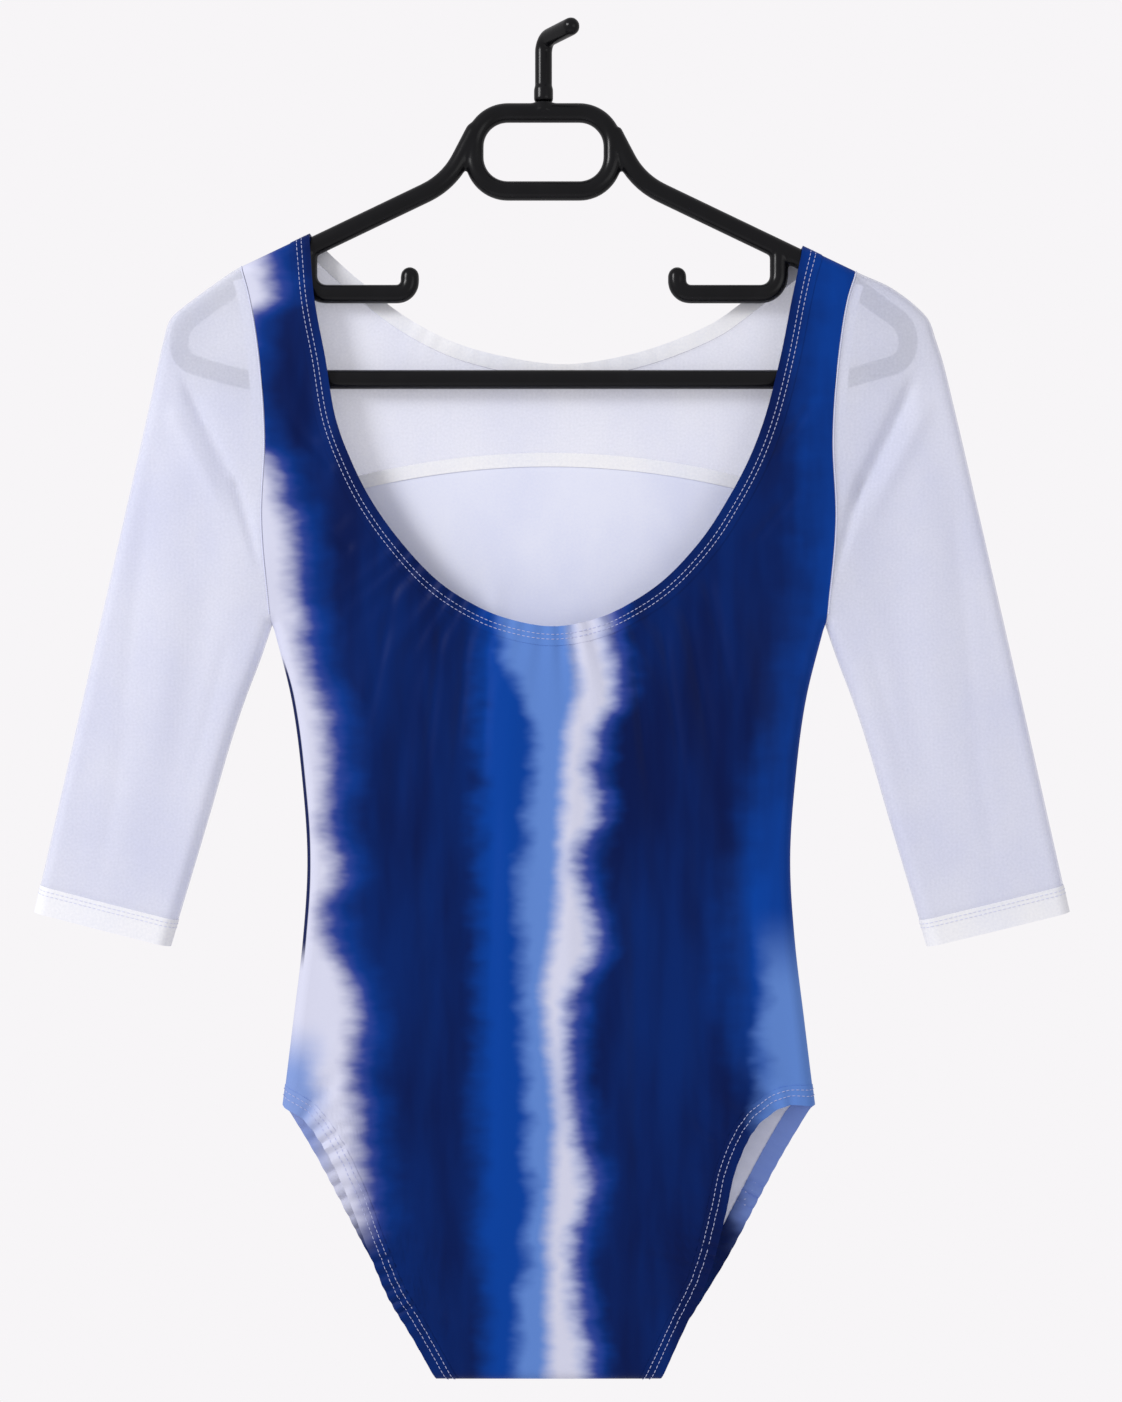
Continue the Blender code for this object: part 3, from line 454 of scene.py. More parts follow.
class Form:
    """The garment's surface: a point of its front or back over each place in its outline."""

    def __init__(self, cut: Leotard) -> None:
        """Works out the folded edges, the creases and the gathers.

        Args:
            cut: The garment's sizes.
        """
        self.cut = cut
        starts, ends, inward = [], [], []
        for side in Side:
            shoulder_end = cut.centre_x + side.value * 95.0
            outer = np.vstack([[(shoulder_end, cut.shoulder_z(shoulder_end))], cut.sleeve_outer_line(side)])
            inner = cut.sleeve_inner_line(side)
            outer = np.vstack([outer, outer[-1] + 10 * (outer[-1] - outer[-2])])
            inner = np.vstack([inner, inner[-1] + 10 * (inner[-1] - inner[-2])])
            rim = np.vstack([inner[::-1], cut.side_line(side)[1:]])
            for line in (outer, rim):
                line = np.vstack([line[:-1:3], line[-1:]])
                step = np.diff(line, axis=0)
                step /= np.linalg.norm(step, axis=1)[:, None]
                starts.append(line[:-1])
                ends.append(line[1:])
                inward.append(-side.value * np.stack([-step[:, 1], step[:, 0]], axis=1))
        corner = cut.back_leg[-1]
        starts.append(np.array([(cut.centre_x - corner[1], -corner[0])]))
        ends.append(np.array([(cut.centre_x + corner[1], -corner[0])]))
        inward.append(np.array([(0.0, 1.0)]))
        self.rim = Segments(np.vstack(starts), np.vstack(ends))
        self.inward = np.vstack(inward)
        sleeves = [*cut.sleeve_folds, *mirrored(cut.sleeve_folds)]
        sleeves += [*cut.fine_sleeve_folds, *mirrored(cut.fine_sleeve_folds)]
        self.folds = {
            Face.FRONT: [*cut.front_folds, *cut.fine_front_folds, *sleeves],
            Face.BACK: [*cut.back_folds, *cut.fine_back_folds, *sleeves],
        }
        scoop = EdgeLine(cut.neck_line(cut.front_neck, cut.front_neck_bottom))
        boat = EdgeLine(cut.neck_line(cut.back_neck, cut.back_neck_bottom))
        round_scoop = (150.0, scoop.run[-1] - 150.0)
        self.puckers = {
            Face.FRONT: [Pucker(scoop, 9.5, 1.1, 28.0, 0.4, round_scoop)],
            Face.BACK: [Pucker(boat, 11.0, 0.18, 14.0, 1.3)],
        }
        for side in Side:
            for face, seed in ((Face.FRONT, 0.9), (Face.BACK, 2.2)):
                edge = EdgeLine(curve_through(cut.on_side(cut.leg_rows(side, face), side)))
                self.puckers[face].append(Pucker(edge, 8.5, 1.1, 28.0, seed + side.value))

    def near(self, places: Points) -> tuple[Points, Points]:
        """Distance of places from the folded edges, and the unit way in from the edge."""
        far = np.empty(len(places))
        way = np.empty_like(places)
        for some, distance, _, _, away in self.rim.nearest(places):
            nearest = distance.min(axis=1)
            ways = away / np.maximum(nearest, 1e-9)[:, None]
            for k in np.where(nearest <= SNAP)[0]:
                total = self.inward[distance[k] < nearest[k] + SNAP].sum(axis=0)
                ways[k] = total / np.linalg.norm(total)
                nearest[k] = 0.0
            far[some] = nearest
            way[some] = ways
        return far, way

    def fold_height(self, places: Points, rows: Rows) -> Points:
        """How far soft folds push the cloth out. Troughs are negative."""
        total = np.zeros(len(places))
        for x1, drop1, x2, drop2, half_width, deep in rows:
            start = np.array([x1 + self.cut.centre_x, -drop1])
            run = np.array([x2 + self.cut.centre_x, -drop2]) - start
            offset = places - start
            share = (offset @ run) / (run @ run)
            across = (offset[:, 0] * run[1] - offset[:, 1] * run[0]) / math.sqrt(run @ run)
            fade = smoothstep((share + 0.08) / 0.16) * smoothstep((1.06 - share) / 0.5)
            total -= deep * fade * np.exp(-((across / half_width) ** 2))
        return total

    def extra(self, places: Points, face: Face) -> Points:
        """Height of the cloth beyond its plain rounded edge."""
        cut = self.cut
        far = self.near(places)[0]
        body = np.interp(-places[:, 1], cut.depth_drops, cut.body_depth)
        sleeve = np.interp(-places[:, 1], cut.depth_drops, cut.sleeve_depth)
        from_centre = abs(places[:, 0] - cut.centre_x)
        out = smoothstep((from_centre - cut.sleeve_from) / (cut.sleeve_to - cut.sleeve_from))
        depth = body + (sleeve - body) * out
        rise = (depth - cut.edge_round) * smoothstep(far / cut.rise_reach)
        creases = self.fold_height(places, self.folds[face])
        creases += sum(pucker.height(places) for pucker in self.puckers[face])
        return rise + creases * smoothstep((far - 4.0) / 14.0)

    def over(self, places: Points, face: Face, outs: Sequence[float]) -> list[Points]:
        """Points of the garment over places.

        Args:
            places: An array of places, two numbers each.
            face: Front or back.
            outs: Distances out from the garment's outer surface.

        Returns:
            One array of points in millimetres for each distance.
        """
        flat = places.reshape(-1, 2)
        far, way = self.near(flat)
        inside = np.maximum(self.cut.edge_round - far, 0.0)
        height = np.sqrt(self.cut.edge_round**2 - inside**2)
        out = np.maximum(height + self.extra(flat, face), 0.0)
        step = 0.4
        slopes = [
            (self.extra(flat + d, face) - self.extra(flat - d, face)) / (2 * step)
            for d in (np.array([step, 0.0]), np.array([0.0, step]))
        ]
        plane = -(inside[:, None] * way + height[:, None] * np.stack(slopes, axis=1))
        normal = np.stack([plane[:, 0], face.value * height, plane[:, 1]], axis=1)
        normal /= np.linalg.norm(normal, axis=1)[:, None]
        base = np.stack([flat[:, 0], self.cut.middle_y + face.value * out, flat[:, 1]], axis=1)
        shape = (*places.shape[:-1], 3)
        return [(base + normal * distance).reshape(shape) for distance in outs]


def add_mesh(name: str, mesh: bmesh.types.BMesh, looks: Sequence[bpy.types.Material]) -> bpy.types.Object:
    """Makes an object of a finished mesh, with its materials in order."""
    data = bpy.data.meshes.new(name)
    mesh.to_mesh(data)
    mesh.free()
    for look in looks:
        data.materials.append(look)
    piece = bpy.data.objects.new(name, data)
    bpy.context.scene.collection.objects.link(piece)
    data.shade_smooth()
    data.set_sharp_from_angle(angle=math.radians(50))
    return piece


def baked(name: str, source: bpy.types.Object) -> bpy.types.Object:
    """Turns an object with a live modifier into a plain piece."""
    depsgraph = bpy.context.evaluated_depsgraph_get()
    made = bpy.data.meshes.new_from_object(source.evaluated_get(depsgraph))
    bpy.data.objects.remove(source)
    made.name = name
    made.shade_smooth()
    piece = bpy.data.objects.new(name, made)
    bpy.context.scene.collection.objects.link(piece)
    log.info("%s: %d faces", name, len(made.polygons))
    return piece


def wall_of(
    name: str, outer: Points, inner: Points, looks: Sequence[bpy.types.Material], ring: bool = False
) -> bpy.types.Object:
    """Makes a closed cloth wall.

    Args:
        name: The piece's name.
        outer: A grid of points on the outside, in millimetres.
        inner: The same grid on the inside.
        looks: The outside's finish, then the inside's if it is another.
        ring: True where the grid's first axis runs round and joins itself.

    Returns:
        The piece.
    """
    across, down = outer.shape[:2]
    mesh = bmesh.new()
    top, under = (
        [[mesh.verts.new(point) for point in row] for row in (grid * MM).tolist()] for grid in (outer, inner)
    )
    inside = len(looks) - 1
    for i in range(across if ring else across - 1):
        k = (i + 1) % across
        for j in range(down - 1):
            mesh.faces.new((top[i][j], top[k][j], top[k][j + 1], top[i][j + 1]))
            lower = mesh.faces.new((under[i][j], under[i][j + 1], under[k][j + 1], under[k][j]))
            lower.material_index = inside
        mesh.faces.new((top[i][0], under[i][0], under[k][0], top[k][0]))
        mesh.faces.new((top[i][-1], top[k][-1], under[k][-1], under[i][-1]))
    if not ring:
        for j in range(down - 1):
            mesh.faces.new((top[0][j], top[0][j + 1], under[0][j + 1], under[0][j]))
            mesh.faces.new((top[-1][j], under[-1][j], under[-1][j + 1], top[-1][j + 1]))
    bmesh.ops.recalc_face_normals(mesh, faces=mesh.faces)
    return add_mesh(name, mesh, looks)


class Value:
    """A number in a material. Arithmetic on it adds Math nodes."""

    def __init__(self, graph: "Graph", socket: bpy.types.NodeSocket) -> None:
        """Wraps a node's output."""
        self.graph = graph
        self.socket = socket

    def math(self, operation: str, *others: "Value | float") -> "Value":
        """The result of a Math node on this number and others."""
        return self.graph.math(operation, self, *others)

    def __add__(self, other: "Value | float") -> "Value":
        """This plus another."""
        return self.math("ADD", other)

    __radd__ = __add__

    def __sub__(self, other: "Value | float") -> "Value":
        """This minus another."""
        return self.math("SUBTRACT", other)

    def __rsub__(self, other: float) -> "Value":
        """A number minus this."""
        return self.graph.math("SUBTRACT", other, self)

    def __mul__(self, other: "Value | float") -> "Value":
        """This times another."""
        return self.math("MULTIPLY", other)

    __rmul__ = __mul__

    def __truediv__(self, other: "Value | float") -> "Value":
        """This over another."""
        return self.math("DIVIDE", other)

    def step(self, low: "Value | float", high: "Value | float") -> "Value":
        """A soft step from 0 at low to 1 at high."""
        return self.graph.soft_step(self, low, high)


class Graph:
    """A material's node tree, built from expressions."""

    def __init__(self, name: str) -> None:
        """Starts a material with a Principled shader.

        Args:
            name: The finish's name.
        """
        self.material = bpy.data.materials.new(name)
        self.material.use_nodes = True
        self.tree = self.material.node_tree
        self.shader = self.tree.nodes["Principled BSDF"]
        coordinates = self.node("ShaderNodeTexCoord")
        split = self.node("ShaderNodeSeparateXYZ", None, {0: coordinates.outputs["Object"]})
        self.x, self.y, self.z = (Value(self, socket) / MM for socket in split.outputs)

    def node(
        self, kind: str, settings: dict[str, Any] | None = None, sockets: dict[Any, Any] | None = None
    ) -> bpy.types.Node:
        """Adds a node.

        Args:
            kind: The node's type.
            settings: Its settings, set first. "curve" holds a Float Curve's points.
            sockets: Values or links of its inputs, by name or number.

        Returns:
            The node.
        """
        made = self.tree.nodes.new(kind)
        for key, setting in (settings or {}).items():
            if key == "curve":
                curve = made.mapping.curves[0]
                for place, height in setting[1:-1]:
                    curve.points.new(place, height)
                curve.points[0].location = setting[0]
                curve.points[len(curve.points) - 1].location = setting[-1]
                made.mapping.update()
            else:
                setattr(made, key, setting)
        for key, given in (sockets or {}).items():
            if isinstance(given, Value):
                given = given.socket
            if isinstance(given, bpy.types.NodeSocket):
                self.tree.links.new(given, made.inputs[key])
            else:
                made.inputs[key].default_value = given
        return made

    def math(self, operation: str, *numbers: "Value | float") -> Value:
        """The result of a Math node."""
        made = self.node("ShaderNodeMath", {"operation": operation}, dict(enumerate(numbers)))
        return Value(self, made.outputs[0])

    def soft_step(self, number: Value, low: "Value | float", high: "Value | float") -> Value:
        """A soft step from 0 at low to 1 at high."""
        sockets = {"Value": number, "From Min": low, "From Max": high}
        made = self.node("ShaderNodeMapRange", {"interpolation_type": "SMOOTHSTEP"}, sockets)
        return Value(self, made.outputs["Result"])

    def noise(self, across: float, up: float, seed: float, detail: float = 2.0) -> Value:
        """Soft noise about zero.

        Args:
            across: Size of its patches along X, in millimetres.
            up: Their size along Z.
            seed: Moves the pattern.
            detail: How much finer noise it has.

        Returns:
            A number from about -0.5 to 0.5.
        """
        place = self.node("ShaderNodeCombineXYZ", None, {0: self.x / across, 1: self.z / up, 2: seed})
        sockets = {"Vector": place.outputs[0], "Scale": 1.0, "Detail": detail}
        made = self.node("ShaderNodeTexNoise", None, sockets)
        return Value(self, made.outputs[0]) - 0.5

    def line(self, rows: Rows, deepest: float = 760.0, half: float = 160.0) -> Value:
        """A border's x, in millimetres from the garment's centre, at each height.

        Args:
            rows: The border's drops and x.
            deepest: The drop that ends the curve.
            half: The largest x.

        Returns:
            The border's x.
        """
        points = [(drop / deepest, 0.5 + x / (2 * half)) for drop, x in rows]
        points = [(0.0, points[0][1]), *points, (1.0, points[-1][1])]
        down = self.z * (-1.0 / deepest)
        made = self.node("ShaderNodeFloatCurve", {"curve": points}, {"Value": down})
        return (Value(self, made.outputs[0]) - 0.5) * (2 * half)

    def mix(self, share: "Value | float", first: Any, second: Any) -> bpy.types.NodeSocket:
        """A colour between two others."""
        made = self.node("ShaderNodeMix", {"data_type": "RGBA"}, {0: share, 6: first, 7: second})
        return made.outputs[2]

    def bump(self, height: Value, depth: float, strength: float) -> None:
        """Gives the shader relief from a height.

        Args:
            height: The relief, from about -1 to 1.
            depth: The relief's depth in millimetres.
            strength: How much of it shows.
        """
        sockets = {"Strength": strength, "Distance": depth * MM, "Height": height}
        made = self.node("ShaderNodeBump", None, sockets)
        self.tree.links.new(made.outputs[0], self.shader.inputs["Normal"])

    def knit(self, wale: float, course: float) -> Value:
        """The fine ribs of a knitted cloth.

        Args:
            wale: Width of one column of loops, in millimetres.
            course: Height of one row of loops.

        Returns:
            Its relief, from about -1 to 1.
        """
        columns = (self.x * (2 * math.pi / wale)).math("SINE")
        rows = (self.z * (2 * math.pi / course) + columns * 0.8).math("SINE")
        return columns * 0.6 + rows * 0.4

    def finish(self, **values: Any) -> bpy.types.Material:
        """Sets the shader's own sockets, with underscores for the spaces in their names."""
        for key, given in values.items():
            socket = self.shader.inputs[key.replace("_", " ")]
            if isinstance(given, Value):
                given = given.socket
            if isinstance(given, bpy.types.NodeSocket):
                self.tree.links.new(given, socket)
            else:
                socket.default_value = given
        return self.material


def tone(red: int, green: int, blue: int) -> tuple[float, float, float, float]:
    """A screen colour as linear light."""
    steps = [channel / 255 for channel in (red, green, blue)]
    light = [s / 12.92 if s <= 0.04045 else ((s + 0.055) / 1.055) ** 2.4 for s in steps]
    return (light[0], light[1], light[2], 1.0)


@dataclass(frozen=True)
class DyedJersey:
    """Stretch jersey printed like dye that has run down in bands, with painted fold shade in its navy."""

    name: str
    seed: float
    hip_from: float = 109.0
    navy: tuple[float, ...] = tone(0, 37, 106)
    # The darkest navy: the print's dark band centres, and painted shade in fold troughs.
    deep: tuple[float, ...] = tone(0, 20, 76)
    royal: tuple[float, ...] = tone(0, 64, 158)
    sky: tuple[float, ...] = tone(96, 136, 210)
    violet: tuple[float, ...] = tone(82, 82, 156)
    white: tuple[float, ...] = tone(214, 216, 236)
    # Borders: drop, x from the garment's centre
    left_white: Rows = (
        (114, -155), (140, -150), (150, -165), (212, -165), (228, -152), (262, -141), (330, -133),
        (384, -119), (430, -121), (450, -114), (478, -122), (522, -105), (567, -105), (610, -101),
        (650, -97),
    )
    royal_left: Rows = ((120.0, -36.0), (330.0, -36.0), (500.0, -38.0), (620.0, -36.0), (735.0, -34.0))
    sky_left: Rows = (
        (324, -25), (374, -10), (430, -13), (500, -15), (570, -13), (640, -11), (716, -18),
    )
    white_left: Rows = (
        (324, 12), (352, 16), (372, 11), (411, 8), (483, 3.5), (515, -2.5), (545, -0.5), (585, 4),
        (650, 0), (708, 0),
    )
    white_right: Rows = (
        (324, 32), (358, 36), (372, 26), (398, 22), (420, 26), (445, 15), (490, 24), (520, 12), (585, 12),
        (625, 21), (655, 12), (725, 20),
    )
    right_royal: Rows = (
        (130, 154), (240, 148), (330, 142), (400, 124), (495, 106), (540, 108), (620, 150),
    )

    def make(self) -> bpy.types.Material:
        """Builds the printed side's material.

        Returns:
            The material.
        """
        graph = Graph(self.name)
        x = graph.x + 1.0
        down = graph.z * -1.0
        feather = graph.noise(16.0, 7.0, self.seed, 2.0)
        lobes = graph.noise(30.0, 22.0, self.seed + 4.0)
        ragged = x + feather * 9.0 + lobes * 8.0
        soft = x + feather * 5.0 + lobes * 4.0
        broad = x + lobes * 18.0 + feather * 6.0
        # Tall streaks of deep navy in the navy: partly the print's darker band centres, partly painted shade
        # in place of fold troughs.
        cloud = graph.noise(26.0, 150.0, self.seed + 9.0, 3.0)
        navy_and_painted_fold_shade = graph.mix((cloud + 0.5).step(0.3, 0.7), self.deep, self.navy)
        white_left, white_right = graph.line(self.white_left), graph.line(self.white_right)
        left, right = graph.line(self.left_white), graph.line(self.right_royal)
        royal_left, sky_left = graph.line(self.royal_left), graph.line(self.sky_left)
        beside = (1.0 - broad.step(left + 2.0, left + 26.0)) * 0.7
        colour = graph.mix(beside, navy_and_painted_fold_shade, self.royal)
        band_end = 1.0 - broad.step(white_right + 1.0, white_right + 20.0)
        colour = graph.mix(broad.step(royal_left - 11.0, royal_left + 8.0) * band_end, colour, self.royal)
        sky_end = 1.0 - ragged.step(white_right - 4.0, white_right + 6.0)
        colour = graph.mix(broad.step(sky_left - 7.0, sky_left + 7.0) * sky_end, colour, self.sky)
        patch = broad.step(right - 26.0, right + 10.0) * (cloud * 1.6 + 0.8)
        colour = graph.mix(patch.math("MINIMUM", 1.0).math("MAXIMUM", 0.0), colour, self.royal)
        hip = down.step(470.0, 520.0) * broad.step(self.hip_from, self.hip_from + 16.0)
        hip = hip * (1.0 - down.step(640.0, 676.0))
        colour = graph.mix(hip, colour, self.sky)
        fringe = ragged.step(white_right - 7.0, white_right)
        fringe = fringe * (1.0 - ragged.step(white_right + 2.0, white_right + 13.0))
        colour = graph.mix(fringe * 0.45, colour, self.violet)
        stripe = soft.step(white_left - 6.0, white_left + 6.0)
        stripe = stripe * (1.0 - ragged.step(white_right - 9.0, white_right + 7.0))
        colour = graph.mix(stripe, colour, self.white)
        colour = graph.mix((1.0 - ragged.step(left, left + 12.0)) * 0.45, colour, self.violet)
        colour = graph.mix(1.0 - ragged.step(left - 12.0, left + 6.0), colour, self.white)
        left_hip = down.step(530.0, 565.0) * (1.0 - broad.step(-138.0, -116.0))
        left_hip = left_hip * (1.0 - down.step(630.0, 660.0))
        colour = graph.mix(left_hip * 0.8, colour, self.sky)
        colour = graph.mix(down.step(636.0, 664.0) * (1.0 - broad.step(-78.0, -66.0)), colour, self.navy)
        seam = graph.line([(drop, 1.9 - half) for drop, half in Leotard.side_seam])
        turned = (1.0 - x.step(seam + 0.1, seam + 0.8)) * down.step(332.0, 345.0)
        turned = turned * (1.0 - down.step(490.0, 508.0))
        colour = graph.mix(turned, colour, self.deep)
        mottle = graph.noise(2.2, 2.2, self.seed + 2.0, 3.0)
        graph.bump(graph.knit(0.55, 0.42) * 0.7 + mottle, 0.05, 0.35)
        rough = 0.5 + mottle * 0.12
        return graph.finish(Base_Color=colour, Roughness=rough - 0.04, Specular_IOR_Level=0.09)


@dataclass(frozen=True)
class PlainKnit:
    """Undyed knitted cloth: the wrong side of the jersey, mesh, and turned hems."""

    name: str
    colour: tuple[float, ...]
    shade: tuple[float, ...]
    cover: float = 1.0
    wale: float = 0.55
    relief: float = 0.05

    def make(self) -> bpy.types.Material:
        """Builds the material.

        Returns:
            The material.
        """
        graph = Graph(self.name)
        cloud = graph.noise(40.0, 70.0, 3.0, 3.0)
        fleck = graph.noise(1.4, 1.4, 7.0, 2.0)
        colour = graph.mix((cloud * 1.4 + fleck * 0.5 + 0.5).step(0.1, 0.9), self.shade, self.colour)
        knit = graph.knit(self.wale, self.wale * 0.8)
        graph.bump(knit * 0.6 + fleck, self.relief, 0.3)
        made = graph.finish(Base_Color=colour, Roughness=0.62 + fleck * 0.1, Specular_IOR_Level=0.2)
        if self.cover < 1.0:
            graph.finish(Alpha=(fleck * 0.12 + knit * 0.05 + self.cover))
        return made


@dataclass(frozen=True)
class MouldedPlastic:
    """Glossy black plastic with a faint moulded grain."""

    name: str = "hanger_plastic"
    colour: tuple[float, ...] = (0.004, 0.004, 0.005, 1.0)

    def make(self) -> bpy.types.Material:
        """Builds the material.

        Returns:
            The material.
        """
        graph = Graph(self.name)
        ripple = graph.noise(7.0, 7.0, 5.0, 2.0)
        grain = graph.noise(0.5, 0.5, 8.0, 2.0)
        graph.bump(ripple + grain * 0.3, 0.12, 0.25)
        wear = (graph.noise(18.0, 18.0, 2.0) + 0.5).step(0.4, 0.8)
        colour = graph.mix(wear * 0.4, self.colour, (0.008, 0.008, 0.01, 1.0))
        return graph.finish(Base_Color=colour, Roughness=0.24 + grain * 0.12, Specular_IOR_Level=0.2)


@dataclass(frozen=True)
class Thread:
    """Pale sewing thread."""

    name: str
    colour: tuple[float, ...] = tone(168, 176, 222)

    def make(self) -> bpy.types.Material:
        """Builds the material."""
        graph = Graph(self.name)
        twist = graph.noise(0.3, 0.3, 1.0)
        graph.bump(twist, 0.03, 0.3)
        colour = graph.mix(twist + 0.5, self.colour, tone(206, 210, 238))
        return graph.finish(Base_Color=colour, Roughness=0.55)


@dataclass
class Wardrobe:
    """Every finish of the part, made once."""

    front_print: bpy.types.Material = field(default_factory=lambda: DyedJersey("front_print", 1.0).make())
    back_print: bpy.types.Material = field(
        default_factory=lambda: DyedJersey("back_print", 37.0, 96.0, sky=tone(128, 154, 226)).make()
    )
    wrong_side: bpy.types.Material = field(
        default_factory=lambda: PlainKnit("wrong_side", tone(233, 236, 252), tone(222, 226, 248)).make()
    )
    sheer: bpy.types.Material = field(
        default_factory=lambda: PlainKnit(
            "sheer_mesh", tone(240, 242, 255), tone(230, 233, 252), 0.5, 0.7
        ).make()
    )
    hem: bpy.types.Material = field(
        default_factory=lambda: PlainKnit(
            "mesh_hem", tone(252, 252, 255), tone(243, 245, 255), 0.93, 0.7
        ).make()
    )
    plastic: bpy.types.Material = field(default_factory=lambda: MouldedPlastic().make())
    thread: bpy.types.Material = field(default_factory=lambda: Thread("thread").make())
    white_thread: bpy.types.Material = field(
        default_factory=lambda: Thread("white_thread", tone(225, 227, 245)).make()
    )


class Tailor:
    """Shared making of cloth pieces: grids over the form, and how a piece joins the model."""

    levels: tuple[float, ...] = (0.0, 0.24, 0.94, 2.05, 3.5, 5.2, 7.0)
    upper: int = 44
    lower: int = 46
    side_steps: int = 78
    leg_steps: int = 62
    hem_lift: float = 0.28

    def __init__(self, form: Form, looks: Wardrobe) -> None:
        """Keeps the form and the finishes.

        Args:
            form: The garment's surface.
            looks: The finishes.
        """
        self.form = form
        self.cut = form.cut
        self.looks = looks

    def over_arm(self, width: float) -> list[Points]:
        """How the ends of a line move along both arms when it is moved by a width."""
        return [self.cut.out_along(side) * width / math.cos(self.cut.arm_slope) for side in Side]

    def neck(
        self, rows: Rows, bottom: tuple[float, float], steps: int, widths: Sequence[float]
    ) -> list[Points]:
        """A neckline moved into the cloth by each width."""
        line = self.cut.neck_line(rows, bottom)
        levels = tuple(level / math.cos(self.cut.arm_slope) for level in self.levels)
        edge = sample(line, spread(0, lengths_of(line)[-1], steps, levels, levels))
        return [shifted(edge, -width, *self.over_arm(width), ARM_REACH) for width in widths]

    def leg(self, side: Side, face: Face, steps: int, widths: Sequence[float]) -> list[Points]:
        """A leg edge moved into the cloth by each width."""
        line = curve_through(self.cut.on_side(self.cut.leg_rows(side, face), side))
        edge = sample(line, spread(0, lengths_of(line)[-1], steps))
        seam = self.cut.side_line(side)
        moved = []
        for width in widths:
            part = width / self.cut.leg_band
            hip = sample(seam, [lengths_of(seam)[-1] - self.cut.hip_turn * part])[0] - edge[0]
            over = np.array([-side.value * self.cut.crotch_turn * part, 0.0])
            moved.append(shifted(edge, -side.value * width, hip, over, HIP_REACH))
        return moved

    def armhole(self, side: Side) -> Points:
        """An armhole with a point where the yoke seam ends."""
        line = self.cut.armhole_line(side)
        run = lengths_of(line)
        seam = np.interp(0.0, self.cut.yoke_seam_z(line[:, 0]) - line[:, 1], run)
        head = spread(0, seam, self.upper, head=self.levels)
        tail = spread(seam, run[-1], self.lower, tail=self.levels)
        return sample(line, np.concatenate([head, tail[1:]]))

    def panel_edge(self, side: Side, face: Face) -> Points:
        """A panel's edge down the armhole and the side seam and along the leg, under its band."""
        cut = self.cut
        leg = self.leg(side, face, self.leg_steps, [cut.leg_band * cut.under_band])[0]
        seam = cut.side_line(side)
        end = lengths_of(seam)[-1] - cut.hip_turn * cut.under_band
        down = sample(seam, spread(0, end, self.side_steps))
        return np.vstack([self.armhole(side), down[1:], leg[1:]])

    def band(
        self,
        name: str,
        edges: Sequence[Points],
        face: Face,
        look: bpy.types.Material,
        slot: str,
        flat: tuple[float, float],
        node: str,
    ) -> None:
        """Makes a turned hem and joins it to the model.

        Args:
            name: The piece's name.
            edges: Rows of places across the hem.
            face: Front or back.
            look: Its finish.
            slot: Its material slot; passed to enter, which does not use it.
            flat: Its cut size in metres; passed to enter, which does not use it.
            node: The CAD node it stands for.
        """
        under = self.cut.wall + 0.3
        outer, inner = self.form.over(np.array(edges), face, (self.hem_lift, -under))
        self.enter(wall_of(name, outer, inner, (look,)), slot, flat, [node])

    def cloth(
        self, name: str, places: Points, face: Face, looks: Sequence[bpy.types.Material]
    ) -> bpy.types.Object:
        """A closed cloth wall over a grid of places, with finishes for its outside and inside."""
        outer, inner = self.form.over(places, face, (0.0, -self.cut.wall))
        return wall_of(name, outer, inner, looks)

    def enter(
        self, piece: bpy.types.Object, slot: str, flat: tuple[float, float], nodes: Sequence[str] = ()
    ) -> None:
        """Joins a sheet of cloth to the model.

        Args:
            piece: The finished piece.
            slot: The name of a material slot; not used.
            flat: Its cut size in metres; not used.
            nodes: The CAD nodes it stands for.
        """
        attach(piece, BODY)
        if nodes:
            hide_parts(*nodes)
        log.info("%s: %d faces", piece.name, len(piece.data.polygons))


@dataclass
class FrontPanel:
    """The printed front, with its scoop and leg edges turned and stitched."""

    tailor: Tailor
    rows: int = 92
    crotch_steps: int = 26

    def build(self) -> None:
        """Makes the panel, its neck band and its leg bands."""
        tailor, cut, looks = self.tailor, self.tailor.cut, self.tailor.looks
        left, right = (tailor.panel_edge(side, Face.FRONT) for side in Side)
        crotch = np.linspace(left[-1], right[-1], self.crotch_steps + 1)
        rim = np.vstack([left, crotch[1:-1], right[::-1]])
        under = cut.neck_band * cut.under_band
        hem = tailor.neck(cut.front_neck, cut.front_neck_bottom, len(rim) - 1, [under])[0]
        turns = np.cumsum([tailor.upper + tailor.lower, tailor.side_steps, tailor.leg_steps])
        corners = [*turns, *(len(rim) - 1 - turns)]
        insets = []
        for level in tailor.levels:
            moved = shifted(rim, level, *[-way for way in tailor.over_arm(level)], ARM_REACH)
            insets.append(squeezed(rim, moved, corners, level) if level else moved)
        inside = between(hem, insets[-1], np.linspace(0, 1, self.rows + 1))
        places = np.concatenate([inside, np.array(insets[-2::-1])])
        panel = tailor.cloth("front_cloth", places, Face.FRONT, (looks.front_print, looks.wrong_side))
        tailor.enter(panel, "printed_jersey", (0.36, 0.66), ["front_panel"])
        widths = [0.0, 0.8, 5.2, 9.7, cut.neck_band]
        edges = tailor.neck(cut.front_neck, cut.front_neck_bottom, 330, widths)
        tailor.band(
            "scoop_hem",
            edges,
            Face.FRONT,
            looks.front_print,
            "printed_jersey",
            (0.0125, 0.74),
            "neck_band_front",
        )
        leg_hems(tailor, Face.FRONT)


def leg_hems(tailor: Tailor, face: Face) -> None:
    """Makes the two turned, elastic leg edges of one panel."""
    look = tailor.looks.front_print if face is Face.FRONT else tailor.looks.back_print
    for side in Side:
        edges = tailor.leg(side, face, 110, [0.0, 0.8, 5.2, 9.7, tailor.cut.leg_band])
        place = f"{face.name.lower()}_{side.word}"
        tailor.band(
            f"leg_hem_{place}", edges, face, look, "printed_jersey", (0.013, 0.22), f"leg_band_{place}"
        )


